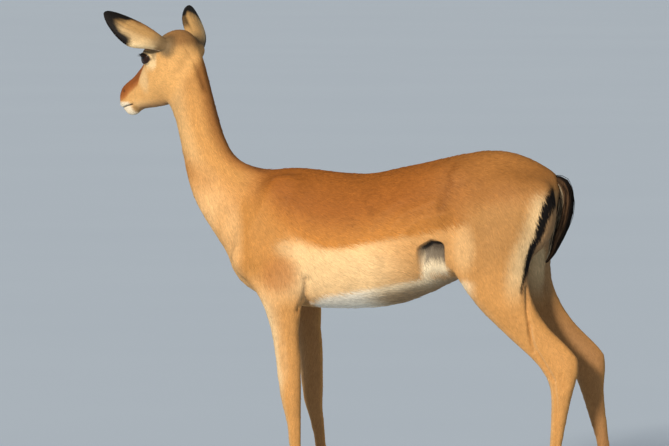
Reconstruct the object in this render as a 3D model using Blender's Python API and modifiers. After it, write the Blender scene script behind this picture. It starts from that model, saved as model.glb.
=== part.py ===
"""Impala ewe, life size, standing square with the head turned to its right.

Metres, +Z up.  The body lies along X with the head at -X, and the animal's left side
faces -Y.  The flesh is lofted as one body, remeshed, then parted with thin cuts.
"""
import math

import bmesh
import bpy
from mathutils import Matrix, Vector

# ---------------------------------------------------------------- driving dimensions
BODY_NAME = "impala_ewe"
WHOLE_SHIFT = Vector((0.0, -0.0298, 0.0))   # puts the bounding box over the origin
GAP = 0.0004              # air left between neighbouring pieces
SOCKET_GROW = 0.0012      # growth of a copy that cuts a socket for its own piece

REMESH_SIZE = 0.005
LIMB_SMOOTHING = 4        # smoothing steps over the whole flesh
BODY_SMOOTHING = 30       # further steps on the trunk and the neck
FLESH_FACES_KEPT = 0.035  # share of the remeshed faces that the Decimate keeps

SPAN_RINGS = 4            # rings between two named sections of a loft
FLESH_SIDES = 20

# head: M is the point midway between the eyes
MID_EYES = Vector((-0.445, 0.045, 1.040))
HEAD_TURN = math.radians(30.0)
HEAD_FORWARD = Vector((-math.cos(HEAD_TURN), math.sin(HEAD_TURN), 0.0))
HEAD_LEFT = Vector((-math.sin(HEAD_TURN), -math.cos(HEAD_TURN), 0.0))
UP = Vector((0.0, 0.0, 1.0))
EYE_RADIUS = 0.0165
EYE_HALF_SPACING = 0.0385

# ears: base and tip in world space, and the way that the open side faces
EAR_LEFT = {"base": (-0.4146, -0.018, 1.0636), "tip": (-0.5507, -0.043, 1.1387),
            "opens": (-0.374, 0.838, -0.398), "sag": 0.0111, "hollow": 0.0087}
EAR_RIGHT = {"base": (-0.3686, 0.056, 1.0546), "tip": (-0.411, 0.182, 1.1469),
             "opens": (-0.776, 0.181, -0.605), "sag": 0.0016, "hollow": 0.0}
EAR_HALF_WIDTH = 0.0318
EAR_SIDES = 8             # steps across one face of an ear
RIM_THIN = 0.0006         # the bowl's edge lies this far inside the back's
TAIL_SIDES = 12

# hoof claws
SOLE_LENGTH = 0.056
CLAW_WIDTH = 0.0200
CLEFT_HALF = 0.0012
HEEL_BEHIND = 0.002       # the heel of the sole behind the rear of the coronet
CORONET_LOW = 0.017       # height of the coronet at the heel
CORONET_RISE = 0.45       # slope of the coronet towards the toe
TOP_SHARE = 0.64          # length of a claw's top against its sole
TOP_NARROWING = 0.10
CLAW_TAPER = 0.42         # narrowing of a claw from heel to toe

# colours, linear RGB
COAT_RED = (0.42, 0.17, 0.055, 1.0)
COAT_FAWN = (0.66, 0.38, 0.15, 1.0)
COAT_LEG = (0.60, 0.33, 0.12, 1.0)
TAIL_DARK = (0.05, 0.03, 0.03, 1.0)
EYE_BROWN = (0.012, 0.006, 0.004, 1.0)
HOOF_BLACK = (0.02, 0.018, 0.017, 1.0)


# ---------------------------------------------------------------- scene and materials
def clear_scene():
    for item in list(bpy.data.objects):
        bpy.data.objects.remove(item, do_unlink=True)


def new_collection(name):
    collection = bpy.data.collections.new(name)
    bpy.context.scene.collection.children.link(collection)
    return collection


def make_material(name, colour, roughness):
    material = bpy.data.materials.new(name)
    material.use_nodes = True
    shader = material.node_tree.nodes["Principled BSDF"]
    shader.inputs["Base Color"].default_value = colour
    shader.inputs["Roughness"].default_value = roughness
    shader.inputs["Metallic"].default_value = 0.0
    material.diffuse_color = colour
    return material


def object_from_bmesh(name, bm, collection):
    bmesh.ops.recalc_face_normals(bm, faces=bm.faces)
    mesh = bpy.data.meshes.new(name)
    bm.to_mesh(mesh)
    bm.free()
    item = bpy.data.objects.new(name, mesh)
    collection.objects.link(item)
    return item


# ---------------------------------------------------------------- lofts
def catmull_rom(p0, p1, p2, p3, t):
    return 0.5 * (2.0 * p1 + (p2 - p0) * t + (2.0 * p0 - 5.0 * p1 + 4.0 * p2 - p3) * t * t
                  + (3.0 * p1 - p0 - 3.0 * p2 + p3) * t ** 3)


def smooth_rings(rings, steps):
    """Insert rings on smooth curves through matching points of the named rings."""
    filled = []
    last = len(rings) - 1
    for index in range(last):
        before = rings[max(index - 1, 0)]
        after = rings[min(index + 2, last)]
        for step in range(steps):
            t = step / steps
            filled.append([catmull_rom(before[k], rings[index][k], rings[index + 1][k], after[k], t)
                           for k in range(len(rings[index]))])
    filled.append(rings[last])
    return filled


def skin_rings(bm, rings):
    """Join neighbouring rings with quads and close both ends with one face."""
    rows = [[bm.verts.new(point) for point in ring] for ring in rings]
    count = len(rows[0])
    for row, following in zip(rows, rows[1:]):
        for k in range(count):
            nxt = (k + 1) % count
            bm.faces.new((row[k], row[nxt], following[nxt], following[k]))
    bm.faces.new(list(reversed(rows[0])))
    bm.faces.new(rows[-1])


def oval_ring(fore, aft, middle, side, half_width, egg, sides):
    """An oval between the points fore and aft; egg > 0 makes its fore end broader."""
    half = (fore - aft) / 2.0
    centre = (fore + aft) / 2.0 + middle
    ring = []
    for k in range(sides):
        angle = 2.0 * math.pi * k / sides
        across = half_width * math.sin(angle) * (1.0 + egg * math.cos(angle))
        ring.append(centre + half * math.cos(angle) + side * across)
    return ring


def flesh_loft(name, sections, collection):
    """Sections: fore (x, z), aft (x, z), sideways offset y, half width, egg."""
    side = Vector((0.0, 1.0, 0.0))
    rings = []
    for (fore_x, fore_z), (aft_x, aft_z), offset, half_width, egg in sections:
        rings.append(oval_ring(Vector((fore_x, 0.0, fore_z)), Vector((aft_x, 0.0, aft_z)),
                               side * offset, side, half_width, egg, FLESH_SIDES))
    bm = bmesh.new()
    skin_rings(bm, smooth_rings(rings, SPAN_RINGS))
    return object_from_bmesh(name, bm, collection)


def muscle(name, centre, half_sizes, tilt_degrees, collection):
    """An ellipsoid that swells the flesh; the tilt turns it about Y."""
    bm = bmesh.new()
    bmesh.ops.create_uvsphere(bm, u_segments=20, v_segments=12, radius=1.0)
    placing = (Matrix.Translation(centre) @ Matrix.Rotation(math.radians(tilt_degrees), 4, "Y")
               @ Matrix.Diagonal((*half_sizes, 1.0)))
    bmesh.ops.transform(bm, matrix=placing, verts=bm.verts)
    return object_from_bmesh(name, bm, collection)


# ---------------------------------------------------------------- trunk and neck
def trunk_sections():
    """Back (x, z), belly (x, z), offset, half width, egg, from the breast to the rump."""
    return [
        ((-0.283, 0.640), (-0.276, 0.585), 0.0, 0.020, 0.0),
        ((-0.262, 0.700), (-0.255, 0.553), 0.0, 0.050, 0.0),
        ((-0.225, 0.770), (-0.215, 0.526), 0.0, 0.074, -0.05),
        ((-0.175, 0.802), (-0.165, 0.508), 0.0, 0.090, -0.12),
        ((-0.120, 0.807), (-0.110, 0.501), 0.0, 0.100, -0.18),
        ((-0.050, 0.799), (-0.050, 0.498), 0.0, 0.111, -0.18),
        ((0.030, 0.794), (0.030, 0.500), 0.0, 0.122, -0.15),
        ((0.100, 0.808), (0.100, 0.510), 0.0, 0.125, -0.12),
        ((0.170, 0.823), (0.170, 0.535), 0.0, 0.118, -0.08),
        ((0.240, 0.839), (0.235, 0.568), 0.0, 0.106, 0.0),
        ((0.305, 0.848), (0.290, 0.598), 0.0, 0.100, 0.0),
        ((0.360, 0.841), (0.340, 0.612), 0.0, 0.092, 0.0),
        ((0.410, 0.820), (0.385, 0.622), 0.0, 0.078, 0.0),
        ((0.443, 0.800), (0.415, 0.640), 0.0, 0.056, 0.0),
        ((0.460, 0.782), (0.438, 0.672), 0.0, 0.030, 0.0),
    ]


def neck_sections():
    """Throat (x, z), nape (x, z), offset, half width, egg, from the chest to the poll."""
    return [
        ((-0.262, 0.575), (-0.130, 0.790), 0.0, 0.075, 0.10),
        ((-0.283, 0.612), (-0.195, 0.802), 0.0, 0.068, 0.12),
        ((-0.312, 0.655), (-0.243, 0.813), 0.0, 0.058, 0.12),
        ((-0.341, 0.697), (-0.270, 0.834), 0.0, 0.050, 0.10),
        ((-0.361, 0.735), (-0.286, 0.862), 0.0, 0.045, 0.08),
        ((-0.374, 0.772), (-0.297, 0.893), 0.0, 0.0415, 0.06),
        ((-0.385, 0.822), (-0.308, 0.930), 0.001, 0.0395, 0.05),
        ((-0.394, 0.866), (-0.320, 0.972), 0.003, 0.0385, 0.04),
        ((-0.404, 0.905), (-0.332, 1.015), 0.006, 0.0390, 0.0),
        ((-0.418, 0.935), (-0.345, 1.050), 0.012, 0.0400, 0.0),
        ((-0.428, 0.955), (-0.372, 1.078), 0.024, 0.0370, 0.0),
    ]


# ---------------------------------------------------------------- legs
def fore_leg_sections(side, set_back, cannon_slope):
    """Front (x, z), rear (x, z), offset, half width, egg, from the withers to the hoof.

    set_back moves the leg below the shoulder towards the tail; cannon_slope carries the
    leg below the knee further back."""
    rows = [
        (-0.200, 0.760, -0.100, 0.760, 0.060, 0.024, 0.00, 0.00),
        (-0.243, 0.680, -0.085, 0.690, 0.066, 0.034, 0.00, 0.00),
        (-0.256, 0.612, -0.080, 0.615, 0.071, 0.037, 0.10, 0.00),
        (-0.226, 0.562, -0.082, 0.568, 0.074, 0.034, 0.20, 0.00),
        (-0.197, 0.522, -0.095, 0.532, 0.075, 0.029, 0.40, 0.00),
        (-0.1805, 0.485, -0.1020, 0.492, 0.074, 0.0255, 0.65, 0.00),
        (-0.1690, 0.445, -0.1070, 0.448, 0.073, 0.0225, 0.85, 0.00),
        (-0.1620, 0.400, -0.1047, 0.400, 0.072, 0.0200, 1.00, 0.00),
        (-0.1560, 0.350, -0.1035, 0.350, 0.072, 0.0180, 0.95, 0.00),
        (-0.1515, 0.318, -0.1030, 0.318, 0.072, 0.0188, 0.85, 0.05),
        (-0.1450, 0.288, -0.1038, 0.288, 0.072, 0.0185, 0.69, 0.12),
        (-0.1370, 0.255, -0.1035, 0.255, 0.072, 0.0142, 0.57, 0.30),
        (-0.1307, 0.200, -0.1035, 0.200, 0.072, 0.0118, 0.57, 0.55),
        (-0.128, 0.130, -0.103, 0.130, 0.072, 0.0118, 0.57, 0.85),
        (-0.131, 0.094, -0.097, 0.086, 0.072, 0.0165, 0.57, 1.00),
        (-0.143, 0.062, -0.110, 0.050, 0.072, 0.0150, 0.57, 1.00),
        (-0.151, 0.040, -0.116, 0.020, 0.072, 0.0180, 0.57, 1.00),
        (-0.157, 0.024, -0.120, 0.004, 0.072, 0.0188, 0.57, 1.00),
    ]
    sections = []
    for front_x, front_z, rear_x, rear_z, offset, half_width, back_share, slope_share in rows:
        moved = set_back * back_share + cannon_slope * slope_share
        sections.append(((front_x + moved, front_z), (rear_x + moved, rear_z),
                         side * offset, half_width, 0.0))
    return sections


def hind_leg_sections(side, set_back, cannon_slope):
    """As fore_leg_sections, from the croup over stifle and hock to the hoof."""
    rows = [
        (0.300, 0.800, 0.438, 0.786, 0.052, 0.032, 0.00, 0.00),
        (0.262, 0.725, 0.455, 0.752, 0.062, 0.044, 0.10, 0.00),
        (0.232, 0.645, 0.437, 0.697, 0.070, 0.049, 0.25, 0.00),
        (0.230, 0.592, 0.413, 0.638, 0.075, 0.047, 0.45, 0.00),
        (0.256, 0.549, 0.403, 0.588, 0.079, 0.042, 0.65, 0.00),
        (0.290, 0.508, 0.407, 0.548, 0.082, 0.036, 0.80, 0.00),
        (0.330, 0.470, 0.424, 0.502, 0.083, 0.029, 0.95, 0.00),
        (0.370, 0.434, 0.452, 0.464, 0.083, 0.0235, 1.00, 0.00),
        (0.410, 0.398, 0.490, 0.429, 0.082, 0.0200, 1.00, 0.00),
        (0.432, 0.372, 0.513, 0.400, 0.082, 0.0205, 1.00, 0.00),
        (0.446, 0.345, 0.511, 0.368, 0.082, 0.0210, 1.00, 0.05),
        (0.451, 0.312, 0.499, 0.328, 0.082, 0.0185, 1.00, 0.16),
        (0.450, 0.265, 0.488, 0.280, 0.082, 0.0150, 1.00, 0.40),
        (0.446, 0.200, 0.474, 0.205, 0.082, 0.0125, 1.00, 0.75),
        (0.438, 0.130, 0.465, 0.133, 0.082, 0.0125, 1.00, 0.95),
        (0.426, 0.096, 0.463, 0.088, 0.082, 0.0175, 1.00, 1.00),
        (0.412, 0.064, 0.446, 0.050, 0.082, 0.0155, 1.00, 1.00),
        (0.403, 0.040, 0.438, 0.020, 0.082, 0.0180, 1.00, 1.00),
        (0.397, 0.024, 0.434, 0.004, 0.082, 0.0188, 1.00, 1.00),
    ]
    sections = []
    for front_x, front_z, rear_x, rear_z, offset, half_width, back_share, slope_share in rows:
        moved = set_back * back_share + cannon_slope * slope_share
        sections.append(((front_x + moved, front_z), (rear_x + moved, rear_z),
                         side * offset, half_width, 0.0))
    return sections


# each leg: side (-1 is the animal's left), set back, slope of the cannon, front or hind
LEGS = {
    "leg_front_left": {"side": -1.0, "set_back": 0.0, "slope": 0.0, "front": True},
    "leg_front_right": {"side": 1.0, "set_back": 0.0175, "slope": 0.024, "front": True},
    "leg_hind_left": {"side": -1.0, "set_back": 0.0, "slope": 0.0, "front": False},
    "leg_hind_right": {"side": 1.0, "set_back": 0.024, "slope": 0.066, "front": False},
}


def leg_sections(leg):
    build = fore_leg_sections if leg["front"] else hind_leg_sections
    return build(leg["side"], leg["set_back"], leg["slope"])


# ---------------------------------------------------------------- head
def head_point(along, height, left=0.0):
    """A point given forward of, above and to the left of the point between the eyes."""
    return MID_EYES + HEAD_FORWARD * along + UP * height + HEAD_LEFT * left


def head_sections():
    """Upper (along, height), lower (along, height), half width, egg, from poll to nose."""
    return [
        ((-0.100, 0.020), (-0.072, -0.066), 0.030, 0.0),
        ((-0.088, 0.047), (-0.064, -0.086), 0.042, 0.15),
        ((-0.066, 0.061), (-0.050, -0.097), 0.046, 0.26),
        ((-0.041, 0.057), (-0.030, -0.103), 0.046, 0.32),
        ((-0.015, 0.040), (-0.010, -0.108), 0.0450, 0.32),
        ((0.009, 0.018), (0.010, -0.111), 0.0400, 0.24),
        ((0.032, -0.004), (0.030, -0.1135), 0.0325, 0.10),
        ((0.053, -0.0235), (0.046, -0.1155), 0.0265, 0.0),
        ((0.073, -0.040), (0.060, -0.119), 0.0225, -0.04),
        ((0.093, -0.053), (0.073, -0.1265), 0.0212, 0.06),
        ((0.108, -0.063), (0.084, -0.1305), 0.0210, 0.08),
        ((0.117, -0.077), (0.097, -0.1255), 0.0185, 0.05),
        ((0.1195, -0.090), (0.109, -0.113), 0.0105, 0.0),
    ]


def head_loft(collection):
    rings = []
    for (top_a, top_h), (low_a, low_h), half_width, egg in head_sections():
        rings.append(oval_ring(head_point(top_a, top_h), head_point(low_a, low_h),
                               Vector((0.0, 0.0, 0.0)), HEAD_LEFT, half_width, egg, FLESH_SIDES))
    bm = bmesh.new()
    skin_rings(bm, smooth_rings(rings, SPAN_RINGS))
    return object_from_bmesh("head_form", bm, collection)


def orbit_bulges(collection):
    """The bony rims that carry the eyes, and the bases of the ears."""
    for sign in (1.0, -1.0):
        centre = head_point(-0.003, 0.005, sign * 0.028)
        muscle("orbit_rim", centre, (0.026, 0.024, 0.022), 0.0, collection)
    for ear in (EAR_LEFT, EAR_RIGHT):
        base = Vector(ear["base"])
        axis = (Vector(ear["tip"]) - base).normalized()
        muscle("ear_root", base - axis * 0.004 + UP * 0.002, (0.022, 0.020, 0.023), 0.0, collection)


# ---------------------------------------------------------------- ears
def ear_profile(share):
    """Half width, cup depth and wall of the ear at a share of its length."""
    stops = [
        (0.00, 0.40, 1.00, 3.2), (0.12, 0.52, 1.00, 2.6), (0.26, 0.76, 0.80, 1.7),
        (0.40, 0.95, 0.60, 1.2), (0.53, 1.00, 0.48, 1.0), (0.68, 0.89, 0.40, 1.0),
        (0.81, 0.70, 0.34, 0.9), (0.91, 0.48, 0.28, 0.8), (0.98, 0.25, 0.24, 0.7),
        (1.00, 0.09, 0.24, 0.6),
    ]
    for low, high in zip(stops, stops[1:]):
        if share <= high[0]:
            t = (share - low[0]) / (high[0] - low[0])
            width, cup, wall = (low[k] + (high[k] - low[k]) * t for k in (1, 2, 3))
            return EAR_HALF_WIDTH * width, EAR_HALF_WIDTH * width * cup, 0.0034 * wall
    return EAR_HALF_WIDTH * 0.08, EAR_HALF_WIDTH * 0.02, 0.002


def hollow_share(share):
    """How far the outer edge draws in on its way to the root, from 0 to 1."""
    stops = [(0.0, 0.35), (0.08, 0.48), (0.16, 0.75), (0.26, 1.0), (0.38, 0.62), (0.50, 0.0)]
    for low, high in zip(stops, stops[1:]):
        if share <= high[0]:
            return low[1] + (high[1] - low[1]) * (share - low[0]) / (high[0] - low[0])
    return 0.0


def ear_object(name, ear, grow, collection):
    """A cupped leaf: rings with the back of the ear outside and its bowl inside."""
    base, tip = Vector(ear["base"]), Vector(ear["tip"])
    axis = (tip - base).normalized()
    opens = Vector(ear["opens"])
    opens = (opens - axis * opens.dot(axis)).normalized()
    across = axis.cross(opens)
    start = base - axis * 0.012
    rings = []
    for share in (0.0, 0.08, 0.16, 0.26, 0.38, 0.50, 0.62, 0.74, 0.84, 0.92, 0.97, 1.0):
        half_width, cup, wall = ear_profile(share)
        outer_width = half_width - ear["hollow"] * hollow_share(share)
        centre = start.lerp(tip, share) + across * (ear["sag"] * math.sin(math.pi * share))
        ring = []
        for k in range(EAR_SIDES + 1):
            s = -1.0 + 2.0 * k / EAR_SIDES
            back = -cup * (1.0 - s * s) - 0.0009
            wide = outer_width if s > 0.0 else half_width
            ring.append(centre + across * (wide * math.sin(s * math.pi / 2.0)) + opens * back)
        for k in range(EAR_SIDES, -1, -1):
            s = -1.0 + 2.0 * k / EAR_SIDES
            bowl = min(-cup * (1.0 - s * s) + wall * (1.0 - 0.55 * s * s), 0.0012)
            inner = (outer_width if s > 0.0 else half_width) - RIM_THIN
            ring.append(centre + across * (inner * math.sin(s * math.pi / 2.0)) + opens * bowl)
        rings.append(ring)
    bm = bmesh.new()
    skin_rings(bm, rings)
    bmesh.ops.recalc_face_normals(bm, faces=bm.faces)
    grow_bmesh(bm, grow)
    return object_from_bmesh(name, bm, collection)


def grow_bmesh(bm, amount):
    """Push every vertex outward along its normal."""
    bm.normal_update()
    moves = [(vert, vert.normal.copy()) for vert in bm.verts]
    for vert, normal in moves:
        vert.co += normal * amount


# ---------------------------------------------------------------- tail, eyes, hooves
def tail_object(name, grow, collection):
    """The dock with its full brush of hair, hanging close against the rump."""
    sections = [
        ((0.440, 0.797), (0.432, 0.772), 0.012),
        ((0.456, 0.796), (0.440, 0.766), 0.016),
        ((0.472, 0.786), (0.447, 0.756), 0.019),
        ((0.483, 0.765), (0.450, 0.741), 0.021),
        ((0.4865, 0.738), (0.447, 0.722), 0.022),
        ((0.483, 0.708), (0.440, 0.698), 0.021),
        ((0.475, 0.682), (0.433, 0.674), 0.018),
        ((0.464, 0.659), (0.429, 0.652), 0.014),
        ((0.453, 0.640), (0.429, 0.636), 0.008),
        ((0.443, 0.628), (0.434, 0.626), 0.003),
    ]
    side = Vector((0.0, 1.0, 0.0))
    rings = [oval_ring(Vector((outer[0], 0.0, outer[1])), Vector((inner[0], 0.0, inner[1])),
                       Vector((0.0, 0.0, 0.0)), side, half_width, 0.0, TAIL_SIDES)
             for outer, inner, half_width in sections]
    bm = bmesh.new()
    skin_rings(bm, smooth_rings(rings, 2))
    bmesh.ops.recalc_face_normals(bm, faces=bm.faces)
    grow_bmesh(bm, grow)
    return object_from_bmesh(name, bm, collection)


def eye_object(name, side, grow, collection):
    bm = bmesh.new()
    bmesh.ops.create_uvsphere(bm, u_segments=14, v_segments=9, radius=EYE_RADIUS + grow)
    centre = head_point(0.0, 0.0, side * EYE_HALF_SPACING)
    bmesh.ops.translate(bm, vec=centre, verts=bm.verts)
    return object_from_bmesh(name, bm, collection)


def hoof_place(leg):
    """The ground point midway between the claws, at the heel."""
    _, rear_of_coronet, offset, _, _ = leg_sections(leg)[-2]
    return Vector((rear_of_coronet[0] + HEEL_BEHIND, offset, 0.0))


def coronet_height(distance):
    """Height of the coronet plane at a distance forward of the heel."""
    return CORONET_LOW + CORONET_RISE * distance


def claw_object(name, leg, claw_side, collection):
    """One claw of the hoof: a flat sole, a sloping wall and a slanted top."""
    heel = hoof_place(leg)
    blunt = 0.0012            # least width of the rounded ends
    outline = []
    steps = 9
    for k in range(steps + 1):
        angle = math.pi * k / steps
        forward = SOLE_LENGTH * (1.0 - math.cos(angle)) / 2.0
        width = CLAW_WIDTH * math.sin(angle) ** 0.6 * (1.0 - CLAW_TAPER * forward / SOLE_LENGTH)
        outline.append((forward, CLEFT_HALF + max(width, blunt)))
    for share in (0.96, 0.5, 0.03):
        outline.append((SOLE_LENGTH * share, CLEFT_HALF))
    rings = []
    for rise in (0.0, 0.5, 1.0):
        ring = []
        for forward, across in outline:
            moved = forward * (1.0 - (1.0 - TOP_SHARE) * rise)
            height = (coronet_height(moved) - GAP) * rise
            narrowed = CLEFT_HALF + (across - CLEFT_HALF) * (1.0 - TOP_NARROWING * rise)
            ring.append(Vector((heel.x - moved, heel.y + claw_side * narrowed, height)))
        rings.append(ring)
    bm = bmesh.new()
    skin_rings(bm, rings)
    return object_from_bmesh(name, bm, collection)


def hoof_cutter(leg, collection):
    """A block whose tilted top face is the coronet plane of one hoof."""
    heel = hoof_place(leg)
    length, width, depth = 0.16, 0.09, 0.10
    bm = bmesh.new()
    bmesh.ops.create_cube(bm, size=1.0)
    placing = (Matrix.Translation(Vector((heel.x, heel.y, CORONET_LOW)))
               @ Matrix.Rotation(math.atan(CORONET_RISE), 4, "Y")
               @ Matrix.Translation(Vector((-0.02, 0.0, -depth / 2.0)))
               @ Matrix.Diagonal((length, width, depth, 1.0)))
    bmesh.ops.transform(bm, matrix=placing, verts=bm.verts)
    return object_from_bmesh("cut_hoof", bm, collection)


# ---------------------------------------------------------------- cuts
def slab(name, centre, normal, half_u, half_v, collection):
    """A thin block across a limb; normal points along the limb, half_v runs sideways."""
    bm = bmesh.new()
    bmesh.ops.create_cube(bm, size=1.0)
    upright = Vector(normal).normalized()
    lengthwise = Vector((0.0, 1.0, 0.0)).cross(upright).normalized()
    turn = Matrix((lengthwise, upright.cross(lengthwise), upright)).transposed().to_4x4()
    placing = (Matrix.Translation(Vector(centre)) @ turn
               @ Matrix.Diagonal((half_u * 2.0, half_v * 2.0, GAP, 1.0)))
    bmesh.ops.transform(bm, matrix=placing, verts=bm.verts)
    return object_from_bmesh(name, bm, collection)


def slab_cuts(collection):
    cuts = [
        slab("cut_poll", (-0.378, 0.012, 0.990), (-0.84, 0.22, 0.50), 0.085, 0.085, collection),
        slab("cut_neck", (-0.245, 0.0, 0.712), (-0.86, 0.0, 0.50), 0.16, 0.17, collection),
    ]
    for name, leg in LEGS.items():
        side, moved = leg["side"], leg["set_back"]
        if leg["front"]:
            top = (-0.145 + moved * 0.6, side * 0.085, 0.497)
            joint = (-0.128 + moved, side * 0.072, 0.305)
            cuts.append(slab(f"cut_top_{name}", top, (0.0, side * 0.12, 1.0), 0.070, 0.050,
                             collection))
        else:
            top = (0.335 + moved * 0.5, side * 0.092, 0.592)
            joint = (0.478 + moved, side * 0.082, 0.352)
            cuts.append(slab(f"cut_top_{name}", top, (-0.35, side * 0.28, 1.0), 0.112, 0.074,
                             collection))
        cuts.append(slab(f"cut_joint_{name}", joint, (0.0, 0.0, 1.0), 0.07, 0.045, collection))
    return cuts


def add_boolean(target, cutter, name):
    modifier = target.modifiers.new(name, "BOOLEAN")
    modifier.operation = "DIFFERENCE"
    modifier.solver = "EXACT"
    modifier.object = cutter


def evaluated_copy(item, name, collection):
    depsgraph = bpy.context.evaluated_depsgraph_get()
    mesh = bpy.data.meshes.new_from_object(item.evaluated_get(depsgraph))
    copy = bpy.data.objects.new(name, mesh)
    collection.objects.link(copy)
    return copy


def join_objects(items, name):
    bpy.ops.object.select_all(action="DESELECT")
    for item in items:
        item.select_set(True)
    bpy.context.view_layer.objects.active = items[0]
    bpy.ops.object.join()
    items[0].name = name
    return items[0]


# points well inside each piece of flesh, by which the parted pieces are named
FLESH_LANDMARKS = {
    "head": (-0.455, 0.050, 1.000),
    "neck": (-0.335, 0.000, 0.860),
    "trunk": (0.080, 0.000, 0.670),
    "leg_front_left_upper": (-0.138, -0.073, 0.400),
    "leg_front_right_upper": (-0.124, 0.073, 0.400),
    "leg_front_left_lower": (-0.118, -0.072, 0.170),
    "leg_front_right_lower": (-0.086, 0.072, 0.170),
    "leg_hind_left_upper": (0.345, -0.082, 0.510),
    "leg_hind_right_upper": (0.365, 0.082, 0.510),
    "leg_hind_left_lower": (0.462, -0.082, 0.200),
    "leg_hind_right_lower": (0.530, 0.082, 0.200),
}


def build_flesh(forms, cutters):
    """One remeshed body of flesh, before any cut."""
    flesh_loft("trunk_form", trunk_sections(), forms)
    flesh_loft("neck_form", neck_sections(), forms)
    for name, leg in LEGS.items():
        flesh_loft(name + "_form", leg_sections(leg), forms)
    head_loft(forms)
    orbit_bulges(forms)
    for side in (-1.0, 1.0):
        muscle("shoulder_blade", (-0.150, side * 0.056, 0.712), (0.066, 0.028, 0.086), 18.0, forms)
        muscle("upper_arm", (-0.192, side * 0.062, 0.612), (0.074, 0.032, 0.050), -22.0, forms)
        muscle("loin", (0.240, side * 0.040, 0.775), (0.110, 0.045, 0.052), -6.0, forms)
        muscle("haunch", (0.345, side * 0.070, 0.715), (0.085, 0.046, 0.092), 10.0, forms)
        muscle("buttock", (0.412, side * 0.060, 0.700), (0.046, 0.044, 0.082), 12.0, forms)
    whole = join_objects(list(forms.objects), "whole_flesh")
    remesh = whole.modifiers.new("remesh", "REMESH")
    remesh.mode = "VOXEL"
    remesh.voxel_size = REMESH_SIZE
    even = evaluated_copy(whole, "even_flesh", cutters)
    bpy.data.objects.remove(whole, do_unlink=True)
    body = even.vertex_groups.new(name="body")
    for vertex in even.data.vertices:
        body.add([vertex.index], body_share(vertex.co), "REPLACE")
    add_smoothing(even, LIMB_SMOOTHING, "")
    add_smoothing(even, BODY_SMOOTHING, "body")
    fewer = even.modifiers.new("fewer_faces", "DECIMATE")
    fewer.ratio = FLESH_FACES_KEPT
    fewer.use_collapse_triangulate = True
    solid = evaluated_copy(even, "solid_flesh", cutters)
    bpy.data.objects.remove(even, do_unlink=True)
    return solid


def body_share(point):
    """1 on the trunk and the base of the neck, falling to 0 on the limbs and the head."""
    above_legs = (point.z - 0.50) / 0.07
    below_head = (0.94 - point.z) / 0.10
    return min(max(min(above_legs, below_head), 0.0), 1.0)


def add_smoothing(item, steps, group):
    smooth = item.modifiers.new("smooth", "SMOOTH")
    smooth.factor = 0.5
    smooth.iterations = steps
    smooth.vertex_group = group


def part_flesh(solid, cutters, parts):
    """Cut the sockets, the coronets and the thin gaps, then name the loose pieces."""
    tools = [eye_object("cut_eye", side, GAP, cutters) for side in (1.0, -1.0)]
    tools.append(ear_object("cut_ear_left", EAR_LEFT, SOCKET_GROW, cutters))
    tools.append(ear_object("cut_ear_right", EAR_RIGHT, SOCKET_GROW, cutters))
    tools.append(tail_object("cut_tail", SOCKET_GROW, cutters))
    tools += [hoof_cutter(leg, cutters) for leg in LEGS.values()]
    tools += slab_cuts(cutters)
    for index, tool in enumerate(tools):
        add_boolean(solid, tool, f"cut_{index:02d}")
    parted = evaluated_copy(solid, "parted_flesh", parts)
    bpy.ops.object.select_all(action="DESELECT")
    parted.select_set(True)
    bpy.context.view_layer.objects.active = parted
    bpy.ops.mesh.separate(type="LOOSE")
    name_pieces(list(bpy.context.selected_objects))


def piece_volume(item):
    bm = bmesh.new()
    bm.from_mesh(item.data)
    volume = bm.calc_volume()
    bm.free()
    return volume


def name_pieces(pieces):
    """Give each large piece the name of the landmark nearest to the middle of its box."""
    crumb = 2.0e-6
    for piece in pieces:
        if piece_volume(piece) < crumb:
            bpy.data.objects.remove(piece, do_unlink=True)
            continue
        corners = [Vector(corner) for corner in piece.bound_box]
        middle = sum(corners, Vector((0.0, 0.0, 0.0))) / 8.0
        name = min(FLESH_LANDMARKS, key=lambda key: (Vector(FLESH_LANDMARKS[key]) - middle).length)
        piece.name = name
        piece.data.name = name


def dress(parts):
    coats = {
        "head": make_material("coat_head", COAT_FAWN, 0.8),
        "neck": make_material("coat_neck", COAT_FAWN, 0.8),
        "trunk": make_material("coat_trunk", COAT_RED, 0.8),
        "leg": make_material("coat_leg", COAT_LEG, 0.8),
        "ear": make_material("coat_ear", COAT_FAWN, 0.8),
        "tail": make_material("coat_tail", TAIL_DARK, 0.8),
        "eye": make_material("eye_surface", EYE_BROWN, 0.05),
        "hoof": make_material("hoof_horn", HOOF_BLACK, 0.45),
    }
    for item in parts.objects:
        item.data.materials.clear()
        item.data.materials.append(coats[item.name.split("_")[0]])


def main():
    clear_scene()
    parts = new_collection(BODY_NAME)
    forms = new_collection("flesh_forms")
    cutters = new_collection("cutters")
    solid = build_flesh(forms, cutters)
    part_flesh(solid, cutters, parts)
    eye_object("eye_left", 1.0, 0.0, parts)
    eye_object("eye_right", -1.0, 0.0, parts)
    ear_object("ear_left", EAR_LEFT, 0.0, parts)
    ear_object("ear_right", EAR_RIGHT, 0.0, parts)
    tail_object("tail", 0.0, parts)
    for name, leg in LEGS.items():
        place = name.replace("leg_", "")
        claw_object(f"hoof_{place}_outer", leg, leg["side"], parts)
        claw_object(f"hoof_{place}_inner", leg, -leg["side"], parts)
    dress(parts)
    for item in parts.objects:
        item.data.transform(Matrix.Translation(WHOLE_SHIFT))
    for item in cutters.objects:
        item.hide_render = True
        item.display_type = "WIRE"


main()
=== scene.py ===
"""The looks of a life-size standing impala ewe, built round its CAD frame.

One skin is remeshed from the flesh nodes and shaped by strokes, as a sculptor would press and
raise them. Its markings come from named places along the body, and the coat is solid locks
rooted on that skin, which take the same markings.
"""

import math

import bpy
import numpy as np
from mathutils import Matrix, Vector
from mathutils.bvhtree import BVHTree


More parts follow.
